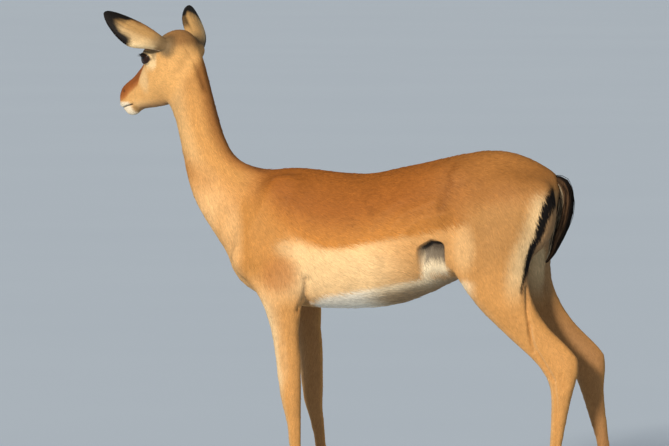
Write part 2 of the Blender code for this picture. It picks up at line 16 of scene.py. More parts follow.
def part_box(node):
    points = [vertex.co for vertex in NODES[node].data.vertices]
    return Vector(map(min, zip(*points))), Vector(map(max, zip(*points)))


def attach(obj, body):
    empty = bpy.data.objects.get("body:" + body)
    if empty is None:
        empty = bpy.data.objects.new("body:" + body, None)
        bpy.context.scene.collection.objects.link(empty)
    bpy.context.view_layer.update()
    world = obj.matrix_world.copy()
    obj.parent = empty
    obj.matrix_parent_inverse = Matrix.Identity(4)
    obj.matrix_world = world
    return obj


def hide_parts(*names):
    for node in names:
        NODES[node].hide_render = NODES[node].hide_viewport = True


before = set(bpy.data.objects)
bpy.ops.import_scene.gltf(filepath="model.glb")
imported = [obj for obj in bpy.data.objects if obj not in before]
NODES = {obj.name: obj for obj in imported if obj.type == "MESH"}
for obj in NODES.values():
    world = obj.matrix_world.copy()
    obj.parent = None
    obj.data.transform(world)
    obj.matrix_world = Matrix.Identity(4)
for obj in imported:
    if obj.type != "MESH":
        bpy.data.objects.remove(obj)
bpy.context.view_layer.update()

# ---------------------------------------------------------------- sizes
BODY_VOXEL = 0.0062        # remeshing step over the whole flesh
EAR_ROOT = 0.0120          # radius of the ball under each ear
ALL_OVER, BROAD, OFF_EARS, AT_ROOTS = 3, 26, 4, 10     # rounds of smoothing over those places
GAP_CLOSER = 0.0006        # growth that closes the thin cuts between the CAD solids
EAR_INSET = 0.0004
OUTER_COAT = 0.0011        # depth of the coat on the trunk, which the skin lies inside
UP = Vector((0.0, 0.0, 1.0))

TRUNK_LEGS = [f"leg_{end}_{side}_{part}" for end in ("front", "hind")
              for side in ("left", "right") for part in ("upper", "lower")]
FLESH = ["trunk", "neck", "head"] + TRUNK_LEGS
SIDES = {"left": -1.0, "right": 1.0}      # sign of Y on that side of the trunk
TRUNK_MIDDLE = -0.0298                    # Y of the plane between the left and right legs


def box_centre(node):
    low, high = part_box(node)
    return (low + high) / 2.0


# head space: along the nose, up, and to the animal's left, from the point between the eyes
EYES = {side: box_centre("eye_" + side) for side in SIDES}
EYE_RADIUS = 0.0165
MID_EYES = (EYES["left"] + EYES["right"]) / 2.0
HEAD_LEFT = (EYES["left"] - EYES["right"]).normalized()
HEAD_FORWARD = HEAD_LEFT.cross(UP)

# ears, as in the CAD: base, tip, the way that the bowl opens, and how far the middle line sags;
# their coat makes them a little broader than their solids
EARS = {
    "left": {"base": (-0.4146, -0.0478, 1.0636), "tip": (-0.5507, -0.0728, 1.1387),
             "opens": (-0.374, 0.838, -0.398), "sag": 0.0111, "spread": 1.05},
    "right": {"base": (-0.3686, 0.0262, 1.0546), "tip": (-0.411, 0.1522, 1.1469),
              "opens": (-0.776, 0.181, -0.605), "sag": 0.0016, "spread": 1.13},
}
EAR_HALF_WIDTH = 0.0318    # at the widest place
EAR_REACH = 0.034          # furthest that an ear's skin lies from the plane of its opening


# ---------------------------------------------------------------- small tools
def colour(hex_code):
    """The linear colour of an sRGB hex value."""
    values = [int(hex_code[k:k + 2], 16) / 255.0 for k in (1, 3, 5)]
    return np.array([v / 12.92 if v <= 0.04045 else ((v + 0.055) / 1.055) ** 2.4
                     for v in values])


def soft(value, low, high):
    """0 below low, 1 above high, and a smooth rise between them."""
    t = np.clip((value - low) / (high - low), 0.0, 1.0)
    return t * t * (3.0 - 2.0 * t)


def fade(value, low, high):
    """1 below low, 0 above high, and a smooth fall between them."""
    return 1.0 - soft(value, low, high)


def hump(distance, width):
    """1 at no distance, falling away smoothly on both sides over the given width."""
    return np.exp(-(distance / width) ** 2)


def read_off(value, table):
    """Straight runs between the (place, reading) pairs of a table, read at the given places."""
    return np.interp(value, *zip(*table))


def blend(under, over, share):
    return under + (over - under) * np.asarray(share)[..., None]


def layered(under, *layers):
    """Colours laid over each other in turn: each layer is a colour and its share."""
    for over, share in layers:
        under = blend(under, over, share)
    return under


def within_white(colours):
    """Colours dimmed as a whole where one channel would pass 1, so that the hue stays."""
    return colours / np.maximum(colours.max(axis=-1, keepdims=True), 1.0)


def deselect():
    bpy.ops.object.select_all(action="DESELECT")


def make_active(item):
    deselect()
    item.select_set(True)
    bpy.context.view_layer.objects.active = item


def apply_modifier(item, kind, **settings):
    make_active(item)
    modifier = item.modifiers.new(kind.title(), kind)
    for key, value in settings.items():
        setattr(modifier, key, value)
    bpy.ops.object.modifier_apply(modifier=modifier.name)


def read_points(mesh):
    found = np.empty(len(mesh.vertices) * 3, np.float32)
    mesh.vertices.foreach_get("co", found)
    return found.reshape(-1, 3).astype(float)


def read_normals(mesh):
    found = np.empty(len(mesh.vertices) * 3, np.float32)
    mesh.vertices.foreach_get("normal", found)
    return found.reshape(-1, 3).astype(float)


def write_points(mesh, points):
    mesh.vertices.foreach_set("co", points.astype(np.float32).ravel())
    mesh.update()


def weight_group(item, name, weights):
    """A vertex group with the given weights, in steps of one in twenty."""
    group = item.vertex_groups.new(name=name)
    steps = np.round(np.clip(weights, 0.0, 1.0) * 20).astype(int)
    for step in range(1, 21):
        chosen = np.flatnonzero(steps == step).tolist()
        if chosen:
            group.add(chosen, step / 20.0, "REPLACE")
    return name


def merge_doubles(item):
    make_active(item)
    bpy.ops.object.mode_set(mode="EDIT")
    bpy.ops.mesh.select_all(action="SELECT")
    bpy.ops.mesh.remove_doubles(threshold=0.00001)
    bpy.ops.object.mode_set(mode="OBJECT")


def copy_of_node(node, grow=0.0):
    """A merged copy of a CAD node's mesh, grown along its normals."""
    twin = bpy.data.objects.new(node + "_copy", NODES[node].data.copy())
    bpy.context.collection.objects.link(twin)
    twin.data.materials.clear()
    merge_doubles(twin)
    if grow:
        write_points(twin.data, read_points(twin.data) + read_normals(twin.data) * grow)
    return twin


def join(items, name):
    make_active(items[0])
    for item in items:
        item.select_set(True)
    bpy.ops.object.join()
    whole = bpy.context.view_layer.objects.active
    whole.name = whole.data.name = name
    return whole


def ball(centre, radius):
    deselect()
    bpy.ops.mesh.primitive_ico_sphere_add(subdivisions=3, radius=radius, location=centre)
    item = bpy.context.object
    bpy.ops.object.transform_apply(location=True)
    return item


def refine(item, wanted):
    """Cut each face that is wanted, by its centre, in four."""
    mesh = item.data
    centres = np.empty(len(mesh.polygons) * 3, np.float32)
    mesh.polygons.foreach_get("center", centres)
    chosen = wanted(centres.reshape(-1, 3).astype(float))
    make_active(item)
    bpy.context.tool_settings.mesh_select_mode = (False, False, True)
    mesh.vertices.foreach_set("select", np.zeros(len(mesh.vertices), bool))
    mesh.edges.foreach_set("select", np.zeros(len(mesh.edges), bool))
    mesh.polygons.foreach_set("select", chosen)
    bpy.ops.object.mode_set(mode="EDIT")
    bpy.ops.mesh.subdivide(number_cuts=1)
    bpy.ops.object.mode_set(mode="OBJECT")


def distance_to_path(points, path):
    """Distance of each point from a broken line, in as many axes as the path has."""
    best = np.full(len(points), 1e9)
    path = np.asarray(path, float)
    for start, end in zip(path, path[1:]):
        step = end - start
        share = np.clip(((points - start) @ step) / (step @ step), 0.0, 1.0)
        best = np.minimum(best, np.linalg.norm(points - start - share[:, None] * step, axis=1))
    return best


# ---------------------------------------------------------------- body spaces
def head_space(points):
    """Along, height and left of each point, from between the eyes."""
    away = points - np.array(MID_EYES)
    return np.stack([away @ np.array(HEAD_FORWARD), away[:, 2], away @ np.array(HEAD_LEFT)], 1)


def from_head(along, height, left):
    return np.array(MID_EYES + HEAD_FORWARD * along + UP * height + HEAD_LEFT * left)


def head_share(points):
    """1 on the head and 0 on the neck, across the joint of head and neck."""
    behind = (points[:, 0] + 0.374) * 0.825 - (points[:, 2] - 1.0) * 0.565
    return fade(behind, -0.014, 0.014) * soft(points[:, 2], 0.88, 0.90)


EYE_TURN = 10.0            # degrees that the opening of the lids looks forward
EYE_DROP = 8.0             # and downward
LID_WIDE, LID_UP, LID_DOWN = 52.0, 33.0, 36.0      # half opening of the lids, in degrees


def lid_space(points, side):
    """Bearings from an eye: reach, unit way, degrees forward and up, and 1 on the lids' edge."""
    away = points - np.array(EYES[side])
    reach = np.linalg.norm(away, axis=1)
    way = away / np.maximum(reach, 1e-6)[:, None]
    outward = -SIDES[side] * (way @ np.array(HEAD_LEFT))
    forward = np.degrees(np.arctan2(way @ np.array(HEAD_FORWARD), outward)) - EYE_TURN
    rise = np.degrees(np.arcsin(np.clip(way[:, 2], -1.0, 1.0))) + EYE_DROP
    ring = np.hypot(forward / LID_WIDE, rise / np.where(rise > 0.0, LID_UP, LID_DOWN))
    return reach, way, forward, rise, np.where(outward > -0.35, ring, 9.0)


def on_head(path, turn):
    """A path given as along, height and left; a turn of -1 puts it on the head's other side."""
    return [from_head(along, height, turn * left) for along, height, left in path]


NOSTRIL = [(0.0955, -0.0765, 0.0215), (0.1010, -0.0700, 0.0195), (0.1095, -0.0715, 0.0165),
           (0.1150, -0.0800, 0.0120)]
MOUTH = [(0.0700, -0.1045), (0.0850, -0.1082), (0.1020, -0.1126), (0.1190, -0.1160)]


def from_mouth(points):
    """Distance from the line of the mouth, as along and height of the head."""
    return distance_to_path(head_space(points)[:, :2], MOUTH)


def nose_pad(points):
    """1 on the bare pad between the nostrils."""
    along, height, left = head_space(points).T
    return (soft(along, 0.108, 0.114) * fade(np.abs(left), 0.006, 0.0095)
            * soft(height, -0.097, -0.092) * fade(height, -0.076, -0.070))


def ear_axes(ear):
    base, tip = np.array(ear["base"]), np.array(ear["tip"])
    axis = (tip - base) / np.linalg.norm(tip - base)
    opens = np.array(ear["opens"])
    opens = opens - axis * (opens @ axis)
    opens /= np.linalg.norm(opens)
    return base, tip, axis, opens, np.cross(axis, opens)


def ear_space(points, ear):
    """Share of the ear's length, place across it from -1 to 1, and height into its bowl."""
    base, tip, axis, opens, across = ear_axes(ear)
    away = points - base
    share = (away @ axis) / np.linalg.norm(tip - base)
    sag = ear["sag"] * np.sin(math.pi * np.clip(share, 0.0, 1.0))
    return share, (away @ across - sag) / EAR_HALF_WIDTH, away @ opens


def ear_share(points, ear):
    share, across, into = ear_space(points, ear)
    return (soft(share, 0.04, 0.14) * fade(share, 1.1, 1.15)
            * fade(np.abs(across), 1.05, 1.25) * (np.abs(into) < EAR_REACH))


def on_ears(points):
    return sum(ear_share(points, ear) for ear in EARS.values()) > 0.5


# how far the right legs stand behind the left ones, at heights up the body
RIGHT_SET_BACK = {
    "front": [(0.09, 0.034), (0.20, 0.0232), (0.26, 0.0172), (0.32, 0.0161), (0.35, 0.0166),
              (0.40, 0.0175), (0.45, 0.0149), (0.56, 0.0035), (0.62, 0.0018)],
    "hind": [(0.09, 0.090), (0.20, 0.0735), (0.27, 0.0504), (0.32, 0.0346), (0.36, 0.0273),
             (0.45, 0.0228), (0.55, 0.0156), (0.64, 0.006), (0.72, 0.0)],
}


def mirrored(points):
    """Points as if each right leg stood level with its left one: X and Z, in side view."""
    right = soft(points[:, 1] - TRUNK_MIDDLE, -0.004, 0.004)
    x, z = points[:, 0], points[:, 2]
    front = read_off(z, RIGHT_SET_BACK["front"]) * fade(x, 0.0, 0.10)
    hind = read_off(z, RIGHT_SET_BACK["hind"]) * soft(x, 0.12, 0.24)
    return np.stack([x - right * (front + hind), z], 1)


def outward_share(points, normals):
    """From -1 on surfaces that face the body's middle plane to 1 on those that face away."""
    return np.where(points[:, 1] > TRUNK_MIDDLE, 1.0, -1.0) * normals[:, 1]


THROAT_LINE = [  # height and X of the throat's line, from the chest to the jaw
    (0.651, -0.298), (0.690, -0.334), (0.744, -0.3626), (0.800, -0.376), (0.842, -0.383),
    (0.885, -0.394), (0.929, -0.407), (1.050, -0.430),
]
NAPE_LINE = [  # the same of the nape, from the withers to the poll
    (0.790, -0.190), (0.807, -0.2288), (0.827, -0.260), (0.864, -0.282), (0.907, -0.300),
    (0.950, -0.311), (0.994, -0.3225), (1.033, -0.3337),
]


def nape_share(points):
    """0 on the throat line of the neck and 1 on its nape."""
    front, back = read_off(points[:, 2], THROAT_LINE), read_off(points[:, 2], NAPE_LINE)
    return np.clip((points[:, 0] - front) / (back - front), 0.0, 1.0)


# ---------------------------------------------------------------- skin: the first shape
def broad_share(points):
    """1 where the body is broad and may be smoothed most, less on limbs and head."""
    trunk = soft(points[:, 2], 0.44, 0.56) * (1.0 - head_share(points))
    tail = soft(points[:, 0], 0.425, 0.45) * soft(points[:, 2], 0.60, 0.63)
    return np.clip(trunk - 0.8 * tail, 0.0, 1.0) * 0.96 + 0.04


TAIL_DOCK = [  # middle of the dock in side view, and its radius
    (0.434, 0.786, 0.0110), (0.444, 0.781, 0.0105), (0.453, 0.773, 0.0100),
    (0.459, 0.762, 0.0095), (0.462, 0.749, 0.0088), (0.463, 0.736, 0.0080),
    (0.462, 0.723, 0.0073), (0.459, 0.711, 0.0065),
]


def make_flesh():
    """The flesh nodes, eyes, ear roots and dock as one closed surface."""
    parts = [copy_of_node(node, GAP_CLOSER) for node in FLESH]
    parts += [copy_of_node("eye_" + side) for side in SIDES]
    for ear in EARS.values():
        base, _, axis, opens, _ = ear_axes(ear)
        parts.append(ball(base - axis * 0.003 - opens * 0.004, EAR_ROOT))
    parts += [ball((x, TRUNK_MIDDLE, z), radius) for x, z, radius in TAIL_DOCK]
    skin = join(parts, "skin")
    apply_modifier(skin, "REMESH", mode="VOXEL", voxel_size=BODY_VOXEL)
    apply_modifier(skin, "SMOOTH", factor=0.5, iterations=ALL_OVER)
    group = weight_group(skin, "broad", broad_share(read_points(skin.data)))
    apply_modifier(skin, "SMOOTH", factor=0.5, iterations=BROAD, vertex_group=group)
    skin.vertex_groups.clear()
    return skin


def coat_depth(points):
    """How far the skin lies inside the flesh nodes."""
    low = soft(points[:, 2], 0.30, 0.56)
    return OUTER_COAT * (0.15 + 0.85 * low) * (1.0 - 0.7 * head_share(points))


def near(points, centre, radius):
    return np.linalg.norm(points - np.asarray(centre), axis=1) < radius


POCKET = np.array([0.187, -0.118, 0.628])      # hollow between flank and thigh, left side
HOCK_LINE = [(0.40, 0.56), (0.41, 0.42), (0.49, 0.36), (0.47, 0.20)]       # in side view
# how far from those, and from each eye, the skin has finer faces, and where the muzzle begins
NEAR_POCKET, NEAR_HOCK, NEAR_EYE, MUZZLE_FROM = 0.046, 0.026, 0.027, 0.055


def both_sides(place):
    """A place on the left of the trunk and its mirror image on the right."""
    place = np.asarray(place, float)
    return [place, np.array([place[0], 2.0 * TRUNK_MIDDLE - place[1], place[2]])]


def fine_places(points):
    """Faces that need half the body's step: the head, the flank pockets and the hocks."""
    head = (head_share(points) > 0.2) & ~on_ears(points)
    pockets = np.zeros(len(points), bool)
    for place in both_sides(POCKET):
        pockets |= near(points, place, NEAR_POCKET)
    return head | pockets | (distance_to_path(mirrored(points), HOCK_LINE) < NEAR_HOCK)


def finest_places(points):
    """Faces that are halved once more: the muzzle and the eyelids."""
    muzzle = head_space(points)[:, 0] > MUZZLE_FROM
    found = muzzle & (head_share(points) > 0.5) & ~on_ears(points)
    for centre in EYES.values():
        found |= near(points, centre, NEAR_EYE)
    return found


def add_ears(skin):
    for side, ear in EARS.items():
        blade = copy_of_node("ear_" + side)
        apply_modifier(blade, "SUBSURF", levels=2, render_levels=2)
        points = read_points(blade.data) - read_normals(blade.data) * EAR_INSET
        base, _, _, _, across = ear_axes(ear)
        points += np.outer((points - base) @ across * (ear["spread"] - 1.0), across)
        write_points(blade.data, points)
        apply_modifier(skin, "BOOLEAN", operation="UNION", solver="FAST", object=blade)
        bpy.data.objects.remove(blade)


def settle(skin):
    """Ease the refined faces, and melt each ear into its root."""
    points = read_points(skin.data)
    ears = np.clip(sum(ear_share(points, ear) for ear in EARS.values()), 0.0, 1.0)
    group = weight_group(skin, "off_ears", 1.0 - ears)
    apply_modifier(skin, "SMOOTH", factor=0.5, iterations=OFF_EARS, vertex_group=group)
    roots = np.zeros(len(points))
    for ear in EARS.values():
        base, _, axis, _, _ = ear_axes(ear)
        away = np.linalg.norm(points - (base + axis * 0.006), axis=1)
        roots = np.maximum(roots, fade(away, 0.012, 0.026))
    group = weight_group(skin, "ear_roots", roots)
    apply_modifier(skin, "SMOOTH", factor=0.5, iterations=AT_ROOTS, vertex_group=group)
    skin.vertex_groups.clear()


# ---------------------------------------------------------------- skin: shaped by strokes
def press(points, normals, path, width, depth):
    """Press a groove along a path in space; a negative depth raises a ridge."""
    share = hump(distance_to_path(points, path), width)
    points -= normals * (depth * share)[:, None]


def press_side(points, normals, path, width, depth):
    """Press the same groove on both sides of the trunk or of a pair of legs, in side view."""
    share = hump(distance_to_path(mirrored(points), path), width)
    share *= soft(outward_share(points, normals), 0.05, 0.45)
    points -= normals * (depth * share)[:, None]


# folds in side view that are both pressed and darkened with painted shade
HIP_CREASE = [(0.232, 0.812), (0.219, 0.800), (0.226, 0.777), (0.216, 0.749), (0.209, 0.722)]
NAPE_FOLD = [(-0.371, 1.056), (-0.356, 1.034), (-0.345, 1.005), (-0.334, 0.975)]
NAPE_FOLD_WIDTH, NAPE_FOLD_DEPTH = 0.0035, 0.0016

BODY_STROKES = [  # path in side view, width, depth
    # hind leg: the deep crease before the heel tendon, the tendon's own line, the hock
    ([(0.401, 0.556), (0.403, 0.506), (0.4065, 0.480), (0.409, 0.452), (0.413, 0.417)],
     0.0040, 0.0050),
    ([(0.4087, 0.478), (0.4120, 0.450), (0.4180, 0.426), (0.4380, 0.391), (0.4610, 0.356)],
     0.0042, 0.0040),
    ([(0.478, 0.364), (0.485, 0.346)], 0.0085, 0.0042),
    ([(0.462, 0.345), (0.464, 0.322), (0.466, 0.290), (0.468, 0.255), (0.464, 0.200)],
     0.0036, 0.0020),
    ([(0.360, 0.493), (0.385, 0.490)], 0.0030, 0.0012),
    # thigh: the hollow before the hip, the hip bone, the line of the great thigh muscle
    ([(0.250, 0.760), (0.235, 0.715), (0.228, 0.680)], 0.020, 0.0040),
    ([(0.286, 0.778), (0.287, 0.778)], 0.018, -0.0030),
    (HIP_CREASE, 0.0065, 0.0020),
    # folds of loose skin running up over the flank
    ([(0.101, 0.670), (0.133, 0.710), (0.200, 0.738)], 0.010, -0.0032),
    ([(0.130, 0.668), (0.165, 0.700), (0.225, 0.712)], 0.009, -0.0026),
    ([(0.060, 0.676), (0.082, 0.712), (0.120, 0.740)], 0.011, -0.0018),
    ([(0.330, 0.735), (0.352, 0.660), (0.372, 0.600)], 0.020, 0.0025),
    ([(0.395, 0.745), (0.388, 0.690), (0.380, 0.620)], 0.022, -0.0025),
    # shoulder: the line between neck and shoulder, the blade, the arm over the elbow
    ([(-0.228, 0.776), (-0.240, 0.744), (-0.249, 0.703), (-0.255, 0.674), (-0.264, 0.640)],
     0.011, 0.0036),
    ([(-0.162, 0.782), (-0.186, 0.722), (-0.215, 0.664)], 0.010, -0.0022),
    ([(-0.140, 0.742), (-0.158, 0.690), (-0.180, 0.640)], 0.011, 0.0018),
    ([(-0.255, 0.618), (-0.244, 0.600)], 0.014, -0.0032),
    ([(-0.238, 0.640), (-0.215, 0.600), (-0.190, 0.566)], 0.010, 0.0018),
    ([(-0.165, 0.610), (-0.142, 0.588), (-0.128, 0.560)], 0.020, -0.0028),
    ([(-0.088, 0.568), (-0.089, 0.545), (-0.094, 0.522), (-0.104, 0.500)], 0.0055, 0.0078),
    # foreleg: knee and cannon
    ([(-0.140, 0.430), (-0.135, 0.370)], 0.0040, 0.0012),
    ([(-0.128, 0.322), (-0.126, 0.290)], 0.010, -0.0010),
    ([(-0.112, 0.262), (-0.110, 0.200), (-0.110, 0.130)], 0.0030, 0.0012),
    # the last ribs
    ([(0.070, 0.700), (0.085, 0.640), (0.082, 0.590)], 0.010, 0.0010),
    ([(0.030, 0.705), (0.045, 0.640), (0.040, 0.585)], 0.010, 0.0010),
]

NECK_STROKES = [  # path in space, on the side that the head turns away from; width, depth
    ([(-0.372, -0.040, 0.935), (-0.352, -0.066, 0.860), (-0.333, -0.085, 0.780),
      (-0.296, -0.090, 0.700)], 0.012, 0.0028),
    ([(-0.352, -0.020, 0.985), (-0.330, -0.060, 0.900), (-0.305, -0.080, 0.830)],
     0.014, -0.0020),
]


POCKET_ROOF = [(0.155, 0.634), (0.166, 0.642), (0.190, 0.6565), (0.210, 0.6545), (0.222, 0.645)]
POCKET_DEPTH = 0.026


def under_pocket_roof(points):
    """How far each point lies under the roof line of a flank pocket, in side view."""
    return read_off(points[:, 0], POCKET_ROOF) - points[:, 2]


def pocket_width(points):
    x = points[:, 0]
    return soft(x, 0.1590, 0.1750) * fade(x, 0.214, 0.2205)


def shape_pockets(points):
    """The pocket of skin between flank and thigh: overhung above and behind, open below."""
    for sign in SIDES.values():
        on_side = sign * (points[:, 1] - TRUNK_MIDDLE) > 0.035
        under = under_pocket_roof(points)
        depth = soft(under, 0.0, 0.0045) * fade(under, 0.004, 0.066) * pocket_width(points)
        points[:, 1] -= sign * POCKET_DEPTH * depth * on_side


LID_HEIGHTS = [  # bearing from the opening's middle, 1 on the lids' edge; height over the eyeball
    (0.0, -0.0030), (0.94, -0.0026), (1.02, 0.0006), (1.10, 0.0019), (1.30, 0.0022),
]


def shape_lids(points):
    """Lids that wrap each eyeball, open over the part that shows."""
    for side, centre in EYES.items():
        reach, way, _, rise, ring = lid_space(points, side)
        lid = read_off(ring, LID_HEIGHTS) + EYE_RADIUS
        upper = 0.0011 * hump(ring - 1.12, 0.10) * soft(rise, 5.0, 25.0)
        crease = -0.0010 * hump(ring - 1.42, 0.08) * soft(rise, 0.0, 20.0)
        share = fade(ring, 1.28, 1.75) * (reach < 0.030)
        new_reach = reach + (lid + upper + crease - reach) * share
        points[:] = np.array(centre) + way * new_reach[:, None]


FACE_STROKES = [  # path as along, height and left of the head; width, depth
    # nostril, its wing, the lip's corner, the groove before the eye
    (NOSTRIL, 0.0022, 0.0052),
    ([(0.099, -0.0640, 0.0160), (0.110, -0.0655, 0.0135), (0.1180, -0.0740, 0.0085)],
     0.0030, -0.0012),
    ([(0.070, -0.1000, 0.0220), (0.090, -0.1035, 0.0185), (0.108, -0.1060, 0.0100)],
     0.0040, -0.0011),
    ([(0.024, -0.020, 0.036), (0.036, -0.036, 0.031)], 0.0030, 0.0016),
    # cheek: the chewing muscle, the bone under the eye, the hollow under that, the crown
    ([(-0.040, -0.060, 0.046), (-0.020, -0.072, 0.046)], 0.018, -0.0022),
    ([(0.020, -0.034, 0.040), (0.045, -0.062, 0.026), (0.070, -0.080, 0.022)],
     0.0070, -0.0012),
    ([(0.010, -0.050, 0.042), (0.040, -0.086, 0.026)], 0.0090, 0.0020),
    ([(-0.030, 0.046, 0.016), (-0.050, 0.046, 0.014)], 0.016, -0.0035),
    # full lips, the chin, the hollow behind the jaw
    ([(0.110, -0.1060, 0.004), (0.112, -0.1060, -0.004)], 0.0095, -0.0022),
    ([(0.080, -0.1230, 0.004), (0.092, -0.1230, -0.004)], 0.0110, -0.0022),
    ([(-0.058, -0.020, 0.046), (-0.068, -0.060, 0.044), (-0.062, -0.086, 0.040)],
     0.0060, 0.0020),
]
MOUTH_WIDTH, MOUTH_DEPTH = 0.0015, 0.0028


def shape_face(points, normals):
    points -= normals * (MOUTH_DEPTH * hump(from_mouth(points), MOUTH_WIDTH))[:, None]
    for turn in (1.0, -1.0):
        for path, width, depth in FACE_STROKES:
            press(points, normals, on_head(path, turn), width, depth)


def shape_skin(skin):
    points, normals = read_points(skin.data), read_normals(skin.data)
    ears = sum(ear_share(points, ear) for ear in EARS.values())
    points -= normals * (coat_depth(points) * (1.0 - np.clip(ears, 0.0, 1.0)))[:, None]
    for path, width, depth in BODY_STROKES:
        press_side(points, normals, path, width, depth)
    for path, width, depth in NECK_STROKES:
        press(points, normals, path, width, depth)
    press_side(points, normals, NAPE_FOLD, NAPE_FOLD_WIDTH, NAPE_FOLD_DEPTH)
    shape_pockets(points)
    shape_face(points, normals)
    shape_lids(points)
    write_points(skin.data, points)


def unwrap(skin):
    """The map that the coat's locks take their places from."""
    make_active(skin)
    bpy.ops.object.mode_set(mode="EDIT")
    bpy.ops.mesh.select_all(action="SELECT")
    bpy.ops.uv.smart_project(angle_limit=math.radians(66.0), island_margin=0.002)
    bpy.ops.object.mode_set(mode="OBJECT")
    skin.data.uv_layers[0].name = "OFBake"


# ---------------------------------------------------------------- markings
SADDLE_RED = colour("#9c5f27")
SADDLE_GOLD = colour("#bf813c")
RUMP_RED = colour("#a06d38")
SHOULDER_TAN = colour("#bf8848")
FLANK_FAWN = colour("#ebbe85")
CREAM = colour("#ecd3a4")
BELLY_WHITE = colour("#fae8c4")
BRISKET_WHITE = colour("#fff6e2")
BELLY_SHADE = colour("#8c6b45")
THROAT_FAWN = colour("#d7ad75")
NECK_TAN = colour("#d09a58")
NAPE_BROWN = colour("#a56c38")
# darkest nape brown; also painted shade along the nape's edge and painted shadow under the jaw
NAPE_DARK_AND_SHADE = colour("#74492a")
THIGH_TAN = colour("#b0824c")
LEG_FAWN = colour("#c69255")
LEG_PALE = colour("#efd2a4")
# painted shade: the legs' inner sides, pale in life, darkened as if shadowed by the body and near legs
LEG_INNER_SHADE = colour("#936c45")
# brown for the dark ring over each hoof, also painted shade over the elbow
ELBOW_SHADE_AND_RING_BROWN = colour("#b97c42")
COAT_BLACK = colour("#0f0b0a")
BLAZE_RED = colour("#945526")
BLAZE_TAN = colour("#b1713b")
CROWN_BROWN = colour("#7d5833")
CHEEK_FAWN = colour("#d9a868")
MUZZLE_WHITE = colour("#ecdfc4")
EAR_TAN = colour("#b58f5a")
EAR_GREY = colour("#836d4d")
EAR_BOWL = colour("#e3d4bb")
# dark bare skin of lids, nostrils, lips and nose, also painted shade under the flank pockets' roofs
BARE_SKIN_AND_SHADE = colour("#2a1d18")
# painted shade: the pockets' white lining, greyed as if in shadow
POCKET_SHADE_GREY = colour("#7c7263")
# painted shade: white of the rump and inner thighs, darkened to brown as if in shadow
RUMP_WHITE_IN_SHADE = colour("#a17f59")


def patch(side_view, centre, half_sizes, edge=0.5):
    """1 inside an oval in side view, fading over its outer part."""
    ring = np.sqrt(((side_view[:, 0] - centre[0]) / half_sizes[0]) ** 2
                   + ((side_view[:, 1] - centre[1]) / half_sizes[1]) ** 2)
    return fade(ring, 1.0 - edge, 1.0 + edge)


RUMP_STRIPE = [  # height, and the X of the black stripe's middle there
    (0.550, 0.388), (0.586, 0.394), (0.618, 0.402), (0.647, 0.412), (0.668, 0.4235),
    (0.699, 0.433), (0.726, 0.441), (0.760, 0.4495), (0.773, 0.455), (0.790, 0.462),
]
STRIPE_HALF_WIDTH = [(0.56, 0.0020), (0.62, 0.0046), (0.68, 0.0084), (0.74, 0.0110), (0.78, 0.0112)]
SADDLE_EDGE = [  # X, and the height of the saddle's lower edge there
    (-0.30, 0.770), (-0.21, 0.745), (-0.175, 0.705), (-0.150, 0.676), (-0.124, 0.660),
    (-0.088, 0.647), (-0.046, 0.637), (0.001, 0.638), (0.064, 0.653), (0.110, 0.662),
    (0.164, 0.6705), (0.202, 0.679), (0.251, 0.690), (0.293, 0.705), (0.315, 0.717),
    (0.36, 0.728), (0.42, 0.742), (0.47, 0.765),
]
SADDLE_SOFTNESS = [  # X, and half the width over which that edge fades
    (-0.26, 0.060), (-0.16, 0.036), (-0.11, 0.018), (-0.05, 0.008), (0.25, 0.007),
    (0.32, 0.040), (0.40, 0.070),
]
BELLY_EDGE = [  # X, and the height of the white belly's upper edge there
    (-0.16, 0.492), (-0.083, 0.516), (-0.0545, 0.530), (-0.014, 0.535), (0.032, 0.545),
    (0.095, 0.556), (0.142, 0.567), (0.164, 0.576), (0.22, 0.570),
]


def trunk_marks(points, normals, wobble):
    side_view = mirrored(points)
    x, z = side_view.T
    edge = wobble * 0.0015
    flank = layered(
        FLANK_FAWN,
        (CREAM, patch(side_view, (-0.01, 0.585), (0.16, 0.055)) * 0.45),
        (SHOULDER_TAN, 0.64 * soft(x, 0.03, 0.16)),
        (SHOULDER_TAN, patch(side_view, (-0.205, 0.665), (0.088, 0.110), 0.4)),
        (FLANK_FAWN, patch(side_view, (-0.262, 0.645), (0.028, 0.080)) * 0.7),
        (CREAM, patch(side_view, (-0.122, 0.636), (0.034, 0.020)) * 0.35))
    # the red saddle, sharp along the flank and fading on shoulder and rump
    line, softness = read_off(x, SADDLE_EDGE), read_off(x, SADDLE_SOFTNESS)
    red = layered(SADDLE_GOLD, (SADDLE_RED, soft(z - line, 0.0, 0.085)),
                  (RUMP_RED, soft(x, 0.10, 0.34)))
    tail_head = 0.12 * soft(x, 0.36, 0.44)
    rump_top = 0.20 * soft(x, 0.20, 0.36) * soft(z, 0.79, 0.84)
    red = red * (1.0 - tail_head + rump_top)[:, None]
    # painted shade along the hip's crease
    crease = hump(distance_to_path(side_view, HIP_CREASE), 0.007)
    red = layered(red, (SADDLE_RED * 0.6, patch(side_view, (0.055, 0.718), (0.010, 0.010)) * 0.35),
                  (SADDLE_RED * 0.6, crease * 0.55))
    # the thigh, and the white belly: whiter toward the chest as painted light, with painted shade where
    # it faces down
    thigh = blend(LEG_FAWN, THIGH_TAN, soft(z, 0.54, 0.66))
    white = fade(z - edge - read_off(x, BELLY_EDGE), -0.006, 0.008)
    white *= soft(x, -0.13, -0.09) * fade(x, 0.24, 0.30)
    belly = layered(BELLY_WHITE, (BRISKET_WHITE, fade(x, 0.00, 0.09)),
                    (BELLY_SHADE, soft(-normals[:, 2], 0.48, 0.90) * soft(x, 0.01, 0.09) * 0.85))
    # the brown patch over the elbow is painted shade
    found = layered(
        flank,
        (red, soft(z + edge - line, -softness, softness)),
        (ELBOW_SHADE_AND_RING_BROWN, patch(side_view, (-0.146, 0.578), (0.040, 0.038)) * 0.75),
        (thigh, soft(x, 0.235, 0.30) * fade(z, 0.70, 0.76)),
        (CREAM, patch(side_view, (0.262, 0.640), (0.024, 0.045)) * 0.25),
        (belly, white))
    return found, side_view


